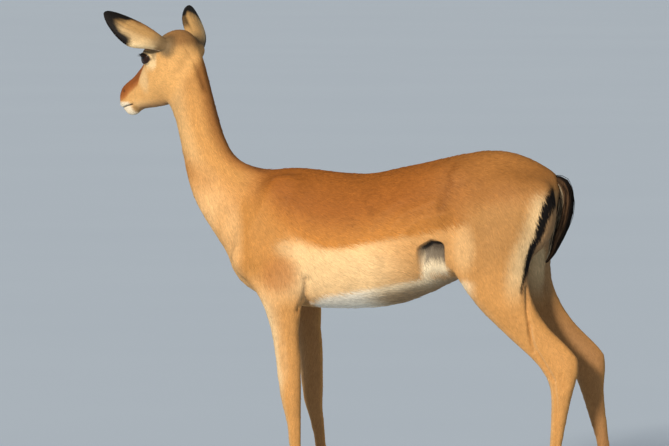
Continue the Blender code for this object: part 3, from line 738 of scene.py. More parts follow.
def limb_marks(points, normals, found, side_view):
    x, z = side_view.T
    # the legs end at the fold of the elbow and at the front of the thigh
    leg = fade(z, 0.50, 0.56) * (1.0 - soft(x, -0.096, -0.080) * fade(x, 0.21, 0.26))
    inner = soft(-outward_share(points, normals), 0.1, 0.8)
    above_knee = soft(z, 0.30, 0.36) * fade(x, 0.0, 0.1)
    in_front = soft(-normals[:, 0], 0.2 - 0.4 * above_knee, 0.9)
    # the inner sides take a dark brown that is painted shade
    legs = layered(LEG_FAWN, (LEG_PALE, (0.35 + 0.60 * above_knee) * in_front),
                   (SHOULDER_TAN, 0.45 * fade(z, 0.02, 0.30)),
                   (LEG_INNER_SHADE, inner * 0.8))
    # the inner thigh and groin are white above that, rearward under painted shade, and the armpit is
    # cream
    groin = inner * soft(x, 0.17, 0.22) * fade(z, 0.66, 0.72) * (1.0 - leg)
    armpit = inner * fade(x, -0.06, 0.0) * fade(z, 0.56, 0.60) * (1.0 - leg)
    # black tufts over the hind pasterns, and the dark ring over each hoof
    gland = soft(x, 0.30, 0.34) * hump(z - 0.098, 0.024) * soft(normals[:, 0], 0.25, 0.85)
    return layered(
        found, (legs, leg),
        (BELLY_WHITE, groin * 0.85 * fade(x, 0.27, 0.34)),
        (RUMP_WHITE_IN_SHADE * 0.7, groin * 0.9 * soft(x, 0.27, 0.34)),
        (CREAM, armpit * 0.8),
        (COAT_BLACK, np.clip(gland * 1.4, 0.0, 1.0)),
        (ELBOW_SHADE_AND_RING_BROWN * 0.5, fade(z, 0.024, 0.036) * 0.8))


def rump_marks(points, normals, found, side_view):
    x, z = side_view.T
    behind = (x - read_off(z, RUMP_STRIPE)) * 0.93
    half = read_off(z, STRIPE_HALF_WIDTH)
    zone = soft(x, 0.33, 0.36) * soft(z, 0.500, 0.600) * fade(z, 0.776, 0.790)
    before = soft(behind, -0.050, -0.012) * fade(behind, -0.004, 0.004) * fade(z, 0.74, 0.775)
    stripe = soft(zone, 0.30, 0.60) * fade(np.abs(behind), half - 0.0018, half + 0.0022)
    stripe *= soft(np.abs(points[:, 1] - TRUNK_MIDDLE), 0.036, 0.048)
    stripe *= soft(outward_share(points, normals), -0.25, 0.05)
    # behind the stripe, the white rump is under painted shade
    return layered(found, (CREAM, zone * 0.62 * before),
                   (RUMP_WHITE_IN_SHADE, zone * soft(behind, -0.002, 0.004)),
                   (COAT_BLACK, stripe))


def tail_marks(points, normals, found):
    """The dock: black behind and pale beneath, as the brush on it."""
    dock = soft(points[:, 0], 0.440, 0.452) * soft(points[:, 2], 0.60, 0.66)
    dock *= fade(np.abs(points[:, 1] - TRUNK_MIDDLE), 0.013, 0.020)
    return blend(found, blend(CREAM * 0.7, COAT_BLACK, soft(normals[:, 0], -0.1, 0.3)), dock)


def neck_marks(points, normals, found):
    share = nape_share(points)
    # the band of darkest brown along the nape's edge is partly painted shade
    neck = layered(THROAT_FAWN, (NECK_TAN, soft(share, 0.15, 0.55)),
                   (NAPE_BROWN, soft(share, 0.60, 0.96) * 0.88),
                   (NAPE_DARK_AND_SHADE, soft(share, 0.86, 0.99) * 0.85))
    neck = neck * (1.0 - 0.15 * soft(points[:, 2], 0.88, 1.0))[:, None]
    side_view = np.stack([points[:, 0], points[:, 2]], 1)
    # painted shade along the nape's fold
    fold = hump(distance_to_path(side_view, NAPE_FOLD), 0.0045)
    fold *= soft(outward_share(points, normals), 0.35, 0.65)
    neck = blend(neck, NAPE_BROWN * 0.45, fold * 0.75)
    low = points[:, 2] + 0.55 * (points[:, 0] + 0.25)      # rises forward, across the neck's root
    return blend(found, neck, soft(low, 0.715, 0.790) * fade(points[:, 0], -0.24, -0.17))


def pocket_marks(points, found):
    """White lining of the flank pockets under painted shade, darkest under the roof, and white hair
    hanging below.
    """
    under = under_pocket_roof(points)
    beside = np.abs(points[:, 1] - TRUNK_MIDDLE) > 0.045
    inside = soft(under, 0.0005, 0.004) * pocket_width(points) * beside
    white = np.maximum(soft(under, 0.028, 0.058), fade(points[:, 0], 0.166, 0.178))
    return layered(found,
                   (blend(POCKET_SHADE_GREY, BELLY_WHITE, white), inside * fade(under, 0.060, 0.085)),
                   (BARE_SKIN_AND_SHADE, inside * fade(under, 0.004, 0.022) * 0.8))


BLAZE_EDGE = [  # along the nose, and the height of the blaze's lower edge there
    (-0.02, 0.010), (0.0, 0.002), (0.020, -0.020), (0.033, -0.038), (0.044, -0.064),
    (0.068, -0.076), (0.084, -0.088), (0.100, -0.097), (0.120, -0.101),
]


def head_marks(points, normals, found, wobble):
    along, height, left = head_space(points).T
    profile = np.stack([along, height], 1)
    edge = wobble * 0.003
    # dark grey behind each ear root: partly its own colour, partly painted shadow of the ear
    behind_ear = patch(profile, (-0.063, 0.027), (0.013, 0.022)) * (np.abs(left) > 0.015)
    # painted shadow under the jaw, on the faces that look down
    jaw = soft(-normals[:, 2], 0.45, 0.85) * soft(-height, 0.065, 0.085) * fade(along, 0.055, 0.075)
    # the red blaze down the nose, over the nostrils
    over = height + edge - read_off(along, BLAZE_EDGE)
    blaze = soft(over, -0.006, 0.007) * soft(along, -0.030, 0.026)
    lips = soft(along + 0.45 * (-height - 0.10), 0.072, 0.088) * fade(height + edge, -0.1035, -0.0970)
    # the dimmed cheek fawn in a spot behind the chin is painted shade
    head = layered(
        CHEEK_FAWN, (CROWN_BROWN, soft(height + 0.2 * along, 0.000, 0.022) * 0.8),
        (EAR_GREY * 0.35, behind_ear * 0.8),
        (CREAM, fade(height, -0.115, -0.085) * fade(along, 0.06, 0.08) * 0.35),
        (NAPE_DARK_AND_SHADE, jaw * 0.6),
        (CREAM, patch(profile, (0.020, -0.046), (0.016, 0.028)) * 0.45),
        (blend(BLAZE_TAN, BLAZE_RED, soft(over, 0.004, 0.020)), blaze),
        (MUZZLE_WHITE, lips),
        (CHEEK_FAWN * 0.55, patch(profile, (0.066, -0.116), (0.008, 0.009)) * 0.8))
    # pale ring round each eye, with a dark patch on the brow, black lids and inner corner
    for side, sign in SIDES.items():
        reach, _, forward, rise, ring = lid_space(points, side)
        close = fade(reach, 0.030, 0.038)
        pale = fade(ring, 1.7, 2.3) * close * (1.0 - 0.7 * soft(forward, 10.0, 60.0))
        brow = hump(ring - 1.78, 0.16) * soft(rise, 22.0, 44.0) * close
        corner = hump(forward - 66.0, 12.0) * hump(rise + 8.0, 13.0) * close
        wrinkle = hump(forward + 66.0, 9.0) * hump(rise + 4.0, 10.0) * close
        nostril = fade(distance_to_path(points, on_head(NOSTRIL, -sign)), 0.0028, 0.0050)
        head = layered(head, (CREAM, pale * 0.8), (BARE_SKIN_AND_SHADE, brow * 0.75),
                       (BARE_SKIN_AND_SHADE, fade(ring, 1.16, 1.30) * close),
                       (BARE_SKIN_AND_SHADE, corner * 0.9), (BARE_SKIN_AND_SHADE, wrinkle * 0.7), (BARE_SKIN_AND_SHADE, nostril))
    mouth = fade(from_mouth(points), 0.0006, 0.0019)
    head = blend(head, BARE_SKIN_AND_SHADE, np.maximum(nose_pad(points), mouth))
    # grey round the root of each ear
    for ear in EARS.values():
        reach = np.linalg.norm(points - np.array(ear["base"]), axis=1)
        head = blend(head, EAR_GREY, fade(reach, 0.014, 0.030) * 0.8)
    return blend(found, head, head_share(points))


EAR_WIDTHS = [  # share of the ear's length, and half its width there against the widest
    (0.0, 0.40), (0.12, 0.52), (0.26, 0.76), (0.40, 0.95), (0.53, 1.00), (0.68, 0.89),
    (0.81, 0.70), (0.91, 0.48), (0.98, 0.25), (1.0, 0.09),
]


def ear_black(side, share, rim, wobble):
    """Black from an ear's tip, drawn out as slants down both edges."""
    low_rim = soft(-rim, 0.80, 1.0) * soft(share, 0.16, 0.40) * 0.85
    if side == "left":
        tip = share + 0.04 * wobble + np.where(rim > 0.0, 0.17, 0.13) * np.abs(rim)
        outer = soft(rim + 0.1 * wobble, 0.30, 0.85) * soft(share, 0.42, 0.52)
        inner = soft(-rim + 0.1 * wobble, 0.50, 0.98) * soft(share, 0.36, 0.60)
    else:
        tip = share + 0.04 * wobble + 0.05 * np.abs(rim) + 0.06
        outer = soft(rim, 0.5, 0.95) * fade(share, 0.35, 0.6)
        inner = soft(-rim, 0.82, 1.0) * soft(share, 0.36, 0.60)
    return np.clip(soft(tip, 0.64, 0.86) + outer + np.maximum(inner, low_rim), 0.0, 1.0)


def ear_marks(points, normals, found, wobble):
    for side, ear in EARS.items():
        _, _, _, opens, _ = ear_axes(ear)
        share, across, _ = ear_space(points, ear)
        lateral = across if side == "left" else -across
        rim = lateral / read_off(share, EAR_WIDTHS)
        black = ear_black(side, share, rim, wobble)
        # painted light: the right ear's tan is brightened, as it faces away from the key lamp
        tan = EAR_TAN * (1.75 if side == "right" else 1.0)      # the one that faces away from the sun
        streaks = soft(np.sin(rim * 19.0 + 2.0 * wobble), 0.2, 0.95) * soft(share, 0.35, 0.75)
        pale_edge = soft(rim, 0.55, 0.9) * fade(share, 0.40, 0.52) * soft(share, 0.10, 0.2)
        hem = soft(-rim, 0.45, 0.95) * soft(share, 0.10, 0.30) * (side == "left")
        back = layered(
            tan, (CREAM, 0.5 * soft(rim, -0.2, 0.6)), (EAR_GREY * 0.7, streaks * 0.45),
            (EAR_GREY, fade(share, 0.08, 0.32)), (CREAM, pale_edge),
            (NAPE_BROWN, hem * 0.55), (COAT_BLACK, black))
        bare_lines = np.cos(rim * 7.0) ** 8 * (np.abs(rim) < 0.66)
        bare_lines *= soft(share, 0.1, 0.25) * fade(share, 0.7, 0.9)
        inside = layered(
            EAR_BOWL, (BARE_SKIN_AND_SHADE * 1.6, 0.40 * bare_lines),
            (COAT_BLACK, soft(share + 0.12 * rim ** 2, 0.90, 1.02) * 0.9),
            (COAT_BLACK, black * soft(np.abs(rim), 0.72, 0.86)))
        bowl = soft(normals @ opens, 0.0, 0.3)
        found = blend(found, blend(back, inside, bowl), ear_share(points, ear))
    return found


def low_noise(points, size):
    """A smooth field between -1 and 1 that wanders over the given size."""
    x, y, z = (points / size).T
    return (np.sin(x * 5.1 + 1.7 * np.sin(y * 3.3)) + np.sin(z * 4.7 + 2.1 * np.sin(x * 2.9))
            + np.sin(y * 5.6 + 1.3 * np.sin(z * 3.7))) / 3.0


def coat_colour(points, normals):
    """The coat's linear colour at places on the skin."""
    wobble = low_noise(points, 0.035)
    found, side_view = trunk_marks(points, normals, wobble)
    found = neck_marks(points, normals, found)
    found = limb_marks(points, normals, found, side_view)
    found = rump_marks(points, normals, found, side_view)
    found = tail_marks(points, normals, found)
    found = pocket_marks(points, found)
    found = head_marks(points, normals, found, wobble)
    found = ear_marks(points, normals, found, wobble)
    cloud = 1.0 + 0.05 * low_noise(points, 0.06) + 0.045 * low_noise(points, 0.011)
    return within_white(found * cloud[:, None])


def paint(item, colours, name="coat_colour"):
    mesh = item.data
    layer = mesh.color_attributes.new(name=name, type="FLOAT_COLOR", domain="POINT")
    values = np.ones((len(mesh.vertices), 4), np.float32)
    values[:, :colours.shape[1]] = colours
    layer.data.foreach_set("color", values.ravel())


def lie_weights(points):
    """Red: neck and legs, where the hair runs down. Green: the head, where it runs back."""
    neck = soft(points[:, 2], 0.80, 0.90) * fade(points[:, 0], -0.26, -0.20)
    down = np.maximum(neck, fade(points[:, 2], 0.48, 0.62))
    head = head_share(points)
    return np.stack([down * (1.0 - head), head, np.zeros(len(points))], 1)


# ---------------------------------------------------------------- materials
def new_material(name):
    material = bpy.data.materials.new(name)
    material.use_nodes = True
    tree = material.node_tree
    shader = tree.nodes["Principled BSDF"]
    return material, tree, shader


def add_node(tree, kind, settings=None, values=None, links=None):
    """Add a node, set its settings and input values, and link inputs from other sockets."""
    node = tree.nodes.new(kind)
    for key, value in (settings or {}).items():
        setattr(node, key, value)
    for key, value in (values or {}).items():
        node.inputs[key].default_value = value
    for key, socket in (links or {}).items():
        tree.links.new(socket, node.inputs[key])
    return node


LOCK_SPACING = 0.0034      # hair gathers in locks this far apart, drawn a little coarse to show
LOCK_LENGTH = 0.030
MOTTLE_SIZE = 0.012


def sleek_coat():
    """Short deer-like hair, lying flat: a soft satin with fine streaks along the lie."""
    material, tree, shader = new_material("short_hair_over_skin")
    shader.inputs["Roughness"].default_value = 0.62
    shader.inputs["Specular IOR Level"].default_value = 0.20
    shader.inputs["Sheen Weight"].default_value = 0.05
    shader.inputs["Sheen Roughness"].default_value = 0.45
    place = add_node(tree, "ShaderNodeTexCoord").outputs["Object"]
    colours = add_node(tree, "ShaderNodeAttribute", {"attribute_name": "coat_colour"})
    lie = add_node(tree, "ShaderNodeAttribute", {"attribute_name": "coat_lie"})
    split = add_node(tree, "ShaderNodeSeparateColor", links={"Color": lie.outputs["Color"]})
    fine, long = 1.0 / LOCK_SPACING, 1.0 / LOCK_LENGTH
    # along the body and a little down; down the neck and legs; back over the face
    turns = {"body": (0.0, 0.20, 0.0), "down": (0.0, 1.30, 0.0),
             "face": (0.0, -0.55, math.radians(-30.0))}
    streaks = {}
    for name, turn in turns.items():
        turned = add_node(tree, "ShaderNodeMapping", {"vector_type": "POINT"},
                          {"Rotation": turn}, {"Vector": place})
        grain = add_node(tree, "ShaderNodeMapping", {"vector_type": "POINT"},
                         {"Scale": (long, fine, fine)}, {"Vector": turned.outputs["Vector"]})
        noise = add_node(tree, "ShaderNodeTexNoise", None,
                         {"Scale": 1.0, "Detail": 3.0, "Roughness": 0.6},
                         {"Vector": grain.outputs["Vector"]})
        streaks[name] = noise.outputs["Fac"]
    down = add_node(tree, "ShaderNodeMix", {"data_type": "FLOAT"}, None,
                    {0: split.outputs["Red"], 2: streaks["body"], 3: streaks["down"]})
    hair = add_node(tree, "ShaderNodeMix", {"data_type": "FLOAT"}, None,
                    {0: split.outputs["Green"], 2: down.outputs[0], 3: streaks["face"]})
    shade = add_node(tree, "ShaderNodeMapRange", None,
                     {"From Min": 0.25, "From Max": 0.75, "To Min": 0.80, "To Max": 1.16},
                     {"Value": hair.outputs[0]})
    streaked = add_node(tree, "ShaderNodeVectorMath", {"operation": "SCALE"}, None,
                        {0: colours.outputs["Color"], "Scale": shade.outputs["Result"]})
    tree.links.new(streaked.outputs[0], shader.inputs["Base Color"])
    bump = add_node(tree, "ShaderNodeBump", None, {"Strength": 0.45, "Distance": 0.0008},
                    {"Height": hair.outputs[0]})
    tree.links.new(bump.outputs["Normal"], shader.inputs["Normal"])
    return material


def hair_locks():
    """Locks of hair: a dry satin, each lock in the tone of its root, mottled a little."""
    material, tree, shader = new_material("hair_locks")
    shader.inputs["Roughness"].default_value = 0.60
    shader.inputs["Specular IOR Level"].default_value = 0.14
    place = add_node(tree, "ShaderNodeTexCoord").outputs["Object"]
    colours = add_node(tree, "ShaderNodeAttribute", {"attribute_name": "coat_colour"})
    mottle = add_node(tree, "ShaderNodeTexNoise", None,
                      {"Scale": 1.0 / MOTTLE_SIZE, "Detail": 2.0}, {"Vector": place})
    shade = add_node(tree, "ShaderNodeMapRange", None,
                     {"From Min": 0.3, "From Max": 0.7, "To Min": 0.93, "To Max": 1.07},
                     {"Value": mottle.outputs["Fac"]})
    toned = add_node(tree, "ShaderNodeVectorMath", {"operation": "SCALE"}, None,
                     {0: colours.outputs["Color"], "Scale": shade.outputs["Result"]})
    tree.links.new(toned.outputs[0], shader.inputs["Base Color"])
    return material


PUPIL_ACROSS, PUPIL_UP = 0.0062, 0.0034     # half the width and height of the level pupil
GAZE = math.radians(12.0)                   # how far forward of square the pupils look


def wet_eye(side):
    """A dark brown eye with a long level pupil under a clear wet cornea."""
    material, tree, shader = new_material("wet_cornea_over_brown_iris_" + side)
    shader.inputs["Roughness"].default_value = 0.08
    shader.inputs["IOR"].default_value = 1.376
    turn = 1.0 if side == "left" else -1.0
    gaze = (HEAD_LEFT * turn * math.cos(GAZE) + HEAD_FORWARD * math.sin(GAZE)).normalized()
    level = UP.cross(gaze).normalized()
    place = add_node(tree, "ShaderNodeTexCoord").outputs["Object"]
    away = add_node(tree, "ShaderNodeVectorMath", {"operation": "SUBTRACT"},
                    {1: EYES[side]}, {0: place})
    reach = {}
    for name, axis, half in (("across", level, PUPIL_ACROSS), ("up", UP, PUPIL_UP)):
        part = add_node(tree, "ShaderNodeVectorMath", {"operation": "DOT_PRODUCT"},
                        {1: tuple(axis / half)}, {0: away.outputs[0]})
        reach[name] = part.outputs["Value"]
    spread = add_node(tree, "ShaderNodeCombineXYZ", None, None,
                      {"X": reach["across"], "Y": reach["up"]})
    pupil = add_node(tree, "ShaderNodeVectorMath", {"operation": "LENGTH"}, None,
                     {0: spread.outputs[0]})
    iris = add_node(tree, "ShaderNodeMapRange", None,
                    {"From Min": 0.9, "From Max": 1.25, "To Min": 0.0, "To Max": 1.0},
                    {"Value": pupil.outputs["Value"]})
    rays = add_node(tree, "ShaderNodeTexNoise", None, {"Scale": 420.0, "Detail": 2.0},
                    {"Vector": place})
    brown = add_node(tree, "ShaderNodeMix", {"data_type": "RGBA"},
                     {6: (*colour("#24120a"), 1.0), 7: (*colour("#2e190d"), 1.0)},
                     {0: rays.outputs["Fac"]})
    seen = add_node(tree, "ShaderNodeMix", {"data_type": "RGBA"},
                    {6: (*colour("#060404"), 1.0)},
                    {0: iris.outputs["Result"], 7: brown.outputs[2]})
    tree.links.new(seen.outputs[2], shader.inputs["Base Color"])
    return material


def hoof_horn():
    """Hard black horn with growth rings, worn to a dull polish."""
    material, tree, shader = new_material("black_hoof_horn")
    shader.inputs["Roughness"].default_value = 0.42
    shader.inputs["IOR"].default_value = 1.54
    place = add_node(tree, "ShaderNodeTexCoord").outputs["Object"]
    flat = add_node(tree, "ShaderNodeMapping", {"vector_type": "POINT"},
                    {"Scale": (30.0, 30.0, 420.0)}, {"Vector": place})
    rings = add_node(tree, "ShaderNodeTexNoise", None, {"Scale": 1.0, "Detail": 4.0},
                     {"Vector": flat.outputs["Vector"]})
    horn = add_node(tree, "ShaderNodeMix", {"data_type": "RGBA"},
                    {6: (*colour("#15110f"), 1.0), 7: (*colour("#3a2f28"), 1.0)},
                    {0: rings.outputs["Fac"]})
    tree.links.new(horn.outputs[2], shader.inputs["Base Color"])
    bump = add_node(tree, "ShaderNodeBump", None, {"Strength": 0.5, "Distance": 0.0006},
                    {"Height": rings.outputs["Fac"]})
    tree.links.new(bump.outputs["Normal"], shader.inputs["Normal"])
    return material


# ---------------------------------------------------------------- coat: the lie of the hair
COMBED = [  # a place in side view, the way that the hair is combed there, its length in mm
    # neck and chest
    ((-0.375, 0.930), (0.35, -0.94), 11.0), ((-0.330, 0.960), (0.50, -0.87), 11.0),
    ((-0.330, 0.840), (0.45, -0.89), 13.0), ((-0.255, 0.850), (0.60, -0.80), 13.0),
    ((-0.385, 0.830), (0.22, -0.97), 14.0), ((-0.335, 0.700), (0.20, -0.98), 15.0),
    ((-0.285, 0.600), (0.25, -0.97), 16.0), ((-0.200, 0.790), (0.82, -0.57), 14.0),
    # shoulder and withers
    ((-0.200, 0.700), (0.52, -0.85), 13.0), ((-0.210, 0.610), (0.35, -0.94), 13.0),
    ((-0.140, 0.660), (0.72, -0.69), 14.0), ((-0.130, 0.560), (0.15, -0.99), 12.0),
    ((-0.120, 0.800), (0.94, -0.34), 15.0), ((-0.090, 0.530), (0.55, -0.83), 16.0),
    # barrel and belly
    ((0.000, 0.760), (0.97, -0.24), 16.0), ((0.000, 0.670), (0.93, -0.37), 16.0),
    ((0.000, 0.580), (0.88, -0.48), 17.0), ((0.000, 0.500), (0.98, -0.20), 21.0),
    ((0.130, 0.780), (0.98, -0.20), 16.0), ((0.120, 0.680), (0.96, -0.29), 16.0),
    ((0.110, 0.600), (0.96, -0.28), 18.0), ((0.110, 0.520), (0.98, -0.20), 24.0),
    ((0.187, 0.630), (0.15, -0.99), 9.0), ((0.187, 0.590), (0.15, -0.99), 20.0),
    ((0.200, 0.690), (0.75, -0.66), 16.0), ((0.190, 0.575), (0.70, -0.71), 24.0),
    # loin, rump and thigh
    ((0.260, 0.840), (0.98, -0.18), 15.0), ((0.270, 0.760), (0.88, -0.48), 14.0),
    ((0.270, 0.660), (0.55, -0.84), 13.0), ((0.350, 0.830), (0.95, -0.30), 14.0),
    ((0.350, 0.730), (0.62, -0.78), 13.0), ((0.340, 0.620), (0.45, -0.89), 12.0),
    ((0.430, 0.800), (0.80, -0.60), 14.0), ((0.440, 0.720), (0.22, -0.97), 16.0),
    ((0.415, 0.620), (0.16, -0.99), 16.0), ((0.255, 0.560), (0.40, -0.92), 12.0),
    # hind leg
    ((0.330, 0.520), (0.50, -0.87), 10.0), ((0.390, 0.540), (0.25, -0.97), 11.0),
    ((0.370, 0.440), (0.62, -0.78), 9.0), ((0.440, 0.400), (0.62, -0.78), 8.5),
    ((0.475, 0.345), (0.20, -0.98), 7.5), ((0.465, 0.250), (0.00, -1.00), 7.0),
    ((0.465, 0.150), (0.00, -1.00), 7.0), ((0.478, 0.098), (0.10, -1.00), 12.0),
    ((0.440, 0.060), (-0.20, -0.98), 6.0),
    # foreleg
    ((-0.130, 0.480), (0.05, -1.00), 10.0), ((-0.125, 0.380), (0.02, -1.00), 8.0),
    ((-0.115, 0.270), (0.00, -1.00), 7.0), ((-0.112, 0.160), (0.00, -1.00), 6.5),
    ((-0.120, 0.060), (-0.15, -0.99), 6.0),
]
COMBED_HEAD = [  # the same, as along and height from between the eyes
    ((0.112, -0.085), (-0.90, 0.35), 3.0), ((0.060, -0.045), (-0.85, 0.50), 4.0),
    ((0.015, 0.008), (-0.92, 0.38), 5.0), ((-0.035, 0.045), (-1.00, 0.10), 7.0),
    ((-0.085, 0.020), (-0.70, -0.70), 8.0), ((0.005, -0.055), (-0.95, -0.30), 5.5),
    ((-0.040, -0.070), (-0.90, -0.45), 7.0), ((0.050, -0.095), (-0.97, -0.15), 5.0),
    ((0.090, -0.105), (-0.97, 0.05), 3.0), ((0.085, -0.125), (-0.97, 0.10), 4.5),
    ((-0.070, -0.110), (-0.60, -0.80), 9.0), ((-0.020, -0.100), (-0.95, -0.20), 7.5),
]
COMB_REACH = 0.028         # the combings blend into each other over about this distance
EAR_BACK_HAIR, EAR_BOWL_HAIR = 0.0050, 0.0130
# area of the locks over the area of skin under them
TRUNK_COVER, LEG_COVER, HEAD_COVER, EAR_COVER = 1.42, 0.86, 0.84, 1.05
BOWL_THINNING, QUICK_THINNING = 0.6, 0.25
LOCK_ROOT, LOCK_SPREAD = 0.00045, 0.052     # a lock's width: so much, and this share of its length
LEAF_SHARE = 0.52          # area of a lock against its length times its width
LOCK_LENGTHS = (0.72, 1.30)                 # shortest and longest lock against the combed length
LOCK_SWING = math.radians(9.0)              # how far a lock's way strays from the combed way
LOCK_MIDDLE = 0.40         # where a lock is broadest, from root to tip
LOCK_SUNK, EDGE_LIFT = 0.0003, 0.00008      # its root under the skin, and its edges over it
LOCK_RIDGE = 0.22          # height of its ridge against its width
LOCK_LIFT = 0.030          # how far a lock's tip stands off, against its length
STRAY_SHARE, STRAY_LIFT = 0.05, 2.6         # so many locks stand off so many times further
ROUND_OVER, TIP_TURN = 0.55, 0.25           # how far its shading turns at the edges and the tip
HAIR_TONE = 0.11           # how far one lock's tone strays from its neighbours'
SHADOW_AT_ROOT, LIGHT_AT_TIP = 0.80, 1.10
MAP_PATCH = 0.0015         # half the size of a lock's patch on the skin's map


def combed(places, table):
    """The way and the length of the hair at places in side view, blended between combings."""
    anchors = np.array([row[0] for row in table])
    settings = np.array([(*row[1], row[2]) for row in table])
    apart = ((places[:, None, :] - anchors[None, :, :]) ** 2).sum(axis=2)
    share = 1.0 / (apart + COMB_REACH ** 2) ** 2
    mixed = (share / share.sum(axis=1, keepdims=True)) @ settings
    return mixed[:, :2], mixed[:, 2] / 1000.0


def unit(ways):
    return ways / np.maximum(np.linalg.norm(ways, axis=1), 1e-9)[:, None]


def lie_of_hair(points, normals):
    """The way that the hair lies along the skin at each point, and its length."""
    body, length = combed(mirrored(points), COMBED)
    way = np.stack([body[:, 0], np.zeros(len(points)), body[:, 1]], 1)
    face, face_length = combed(head_space(points)[:, :2], COMBED_HEAD)
    head = head_share(points)
    way = blend(way, face[:, :1] * np.array(HEAD_FORWARD) + face[:, 1:] * np.array(UP), head)
    length = length + (face_length - length) * head
    for centre in EYES.values():
        reach = np.linalg.norm(points - np.array(centre), axis=1)
        length = length * (0.45 + 0.55 * soft(reach, EYE_RADIUS, 0.034))
    for ear in EARS.values():
        _, _, axis, opens, _ = ear_axes(ear)
        along, across, into = ear_space(points, ear)
        way = blend(way, axis + opens * 0.15, soft(along, -0.14, 0.16) * (np.abs(into) < EAR_REACH)
                    * fade(np.abs(across), 1.05, 1.6))
        in_bowl = normals @ opens > 0.1
        share = ear_share(points, ear)
        hair = np.where(in_bowl, EAR_BOWL_HAIR, EAR_BACK_HAIR)
        length = length + (hair - length) * share
    way = way - normals * (way * normals).sum(axis=1)[:, None]
    return unit(way), length


def bare_share(points):
    """1 where the skin carries no hair: lids, nostrils, mouth, nose pad, and at the claws."""
    bare = nose_pad(points)
    for side, sign in SIDES.items():
        reach, _, _, _, ring = lid_space(points, side)
        bare = np.maximum(bare, fade(ring, 1.24, 1.34) * (reach < 0.032))
        bare = np.maximum(bare, distance_to_path(points, on_head(NOSTRIL, -sign)) < 0.0036)
    bare = np.maximum(bare, from_mouth(points) < 0.0016)
    return np.maximum(bare, points[:, 2] < 0.020)


class SkinMap:
    """The finished skin as arrays: places can be strewn over it, or laid down on it."""

    def __init__(self, skin):
        mesh = skin.data
        mesh.calc_loop_triangles()
        count = len(mesh.loop_triangles)
        corners, loops = np.empty(count * 3, np.int32), np.empty(count * 3, np.int32)
        mesh.loop_triangles.foreach_get("vertices", corners)
        mesh.loop_triangles.foreach_get("loops", loops)
        places = np.empty(len(mesh.loops) * 2, np.float32)
        mesh.uv_layers[0].data.foreach_get("uv", places)
        self.corners = corners.reshape(-1, 3)
        self.points, self.normals = read_points(mesh), read_normals(mesh)
        self.map = places.reshape(-1, 2)[loops.reshape(-1, 3)]
        triangles = self.points[self.corners]
        self.centres = triangles.mean(axis=1)
        self.centre_normals = unit(self.normals[self.corners].sum(axis=1))
        self.areas = np.linalg.norm(np.cross(triangles[:, 1] - triangles[:, 0],
                                             triangles[:, 2] - triangles[:, 0]), axis=1) / 2.0
        self.tree = BVHTree.FromPolygons(self.points.tolist(), self.corners.tolist())

    def strew(self, per_area, rng):
        """Places with the wanted number per square metre: points, normals and map places."""
        wanted = np.cumsum(self.areas * per_area)
        count = int(wanted[-1])
        marks = (np.arange(count) + rng.random(count)) * (wanted[-1] / count)
        chosen = np.minimum(np.searchsorted(wanted, marks), len(self.areas) - 1)
        first, second = rng.random((2, count))
        over = first + second > 1.0
        first[over], second[over] = 1.0 - first[over], 1.0 - second[over]
        shares = np.stack([1.0 - first - second, first, second], 1)[:, :, None]
        corners = self.corners[chosen]
        return ((self.points[corners] * shares).sum(axis=1),
                unit((self.normals[corners] * shares).sum(axis=1)),
                (self.map[chosen] * shares).sum(axis=1))

    def laid(self, points):
        """Each point dropped onto the skin, with the skin's normal there."""
        found = [self.tree.find_nearest(point)[:2] for point in points.tolist()]
        return (np.array([place for place, _ in found]), np.array([way for _, way in found]))


# ---------------------------------------------------------------- coat: meshes of locks
def hair_piece(name, points, faces, normals, colours, places):
    """A piece of the coat: triangles with their own shading normals, colours and map."""
    mesh = bpy.data.meshes.new(name)
    mesh.vertices.add(len(points))
    mesh.vertices.foreach_set("co", points.astype(np.float32).ravel())
    mesh.loops.add(faces.size)
    mesh.loops.foreach_set("vertex_index", faces.astype(np.int32).ravel())
    mesh.polygons.add(len(faces))
    mesh.polygons.foreach_set("loop_start", np.arange(0, faces.size, 3, dtype=np.int32))
    mesh.update(calc_edges=True)
    layer = mesh.uv_layers.new(name="OFBake")
    layer.data.foreach_set("uv", places[faces.ravel()].astype(np.float32).ravel())
    mesh.normals_split_custom_set_from_vertices(unit(normals).tolist())
    item = bpy.data.objects.new(name, mesh)
    bpy.context.collection.objects.link(item)
    paint(item, colours)
    mesh.materials.append(HAIR)
    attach(item, "root")
    return item


# a lock's root, left edge, right edge, ridge and tip: its faces, and their places on the map
LEAF = np.array([[0, 3, 1], [0, 2, 3], [0, 1, 2], [4, 1, 3], [4, 3, 2], [4, 2, 1]])
LEAF_PATCH = np.array([[0.0, -1.0], [-1.0, 0.0], [1.0, 0.0], [0.0, 0.3], [0.0, 1.0]])
LEAF_TONES = np.array([SHADOW_AT_ROOT, 1.0, 1.0, 1.0, LIGHT_AT_TIP])


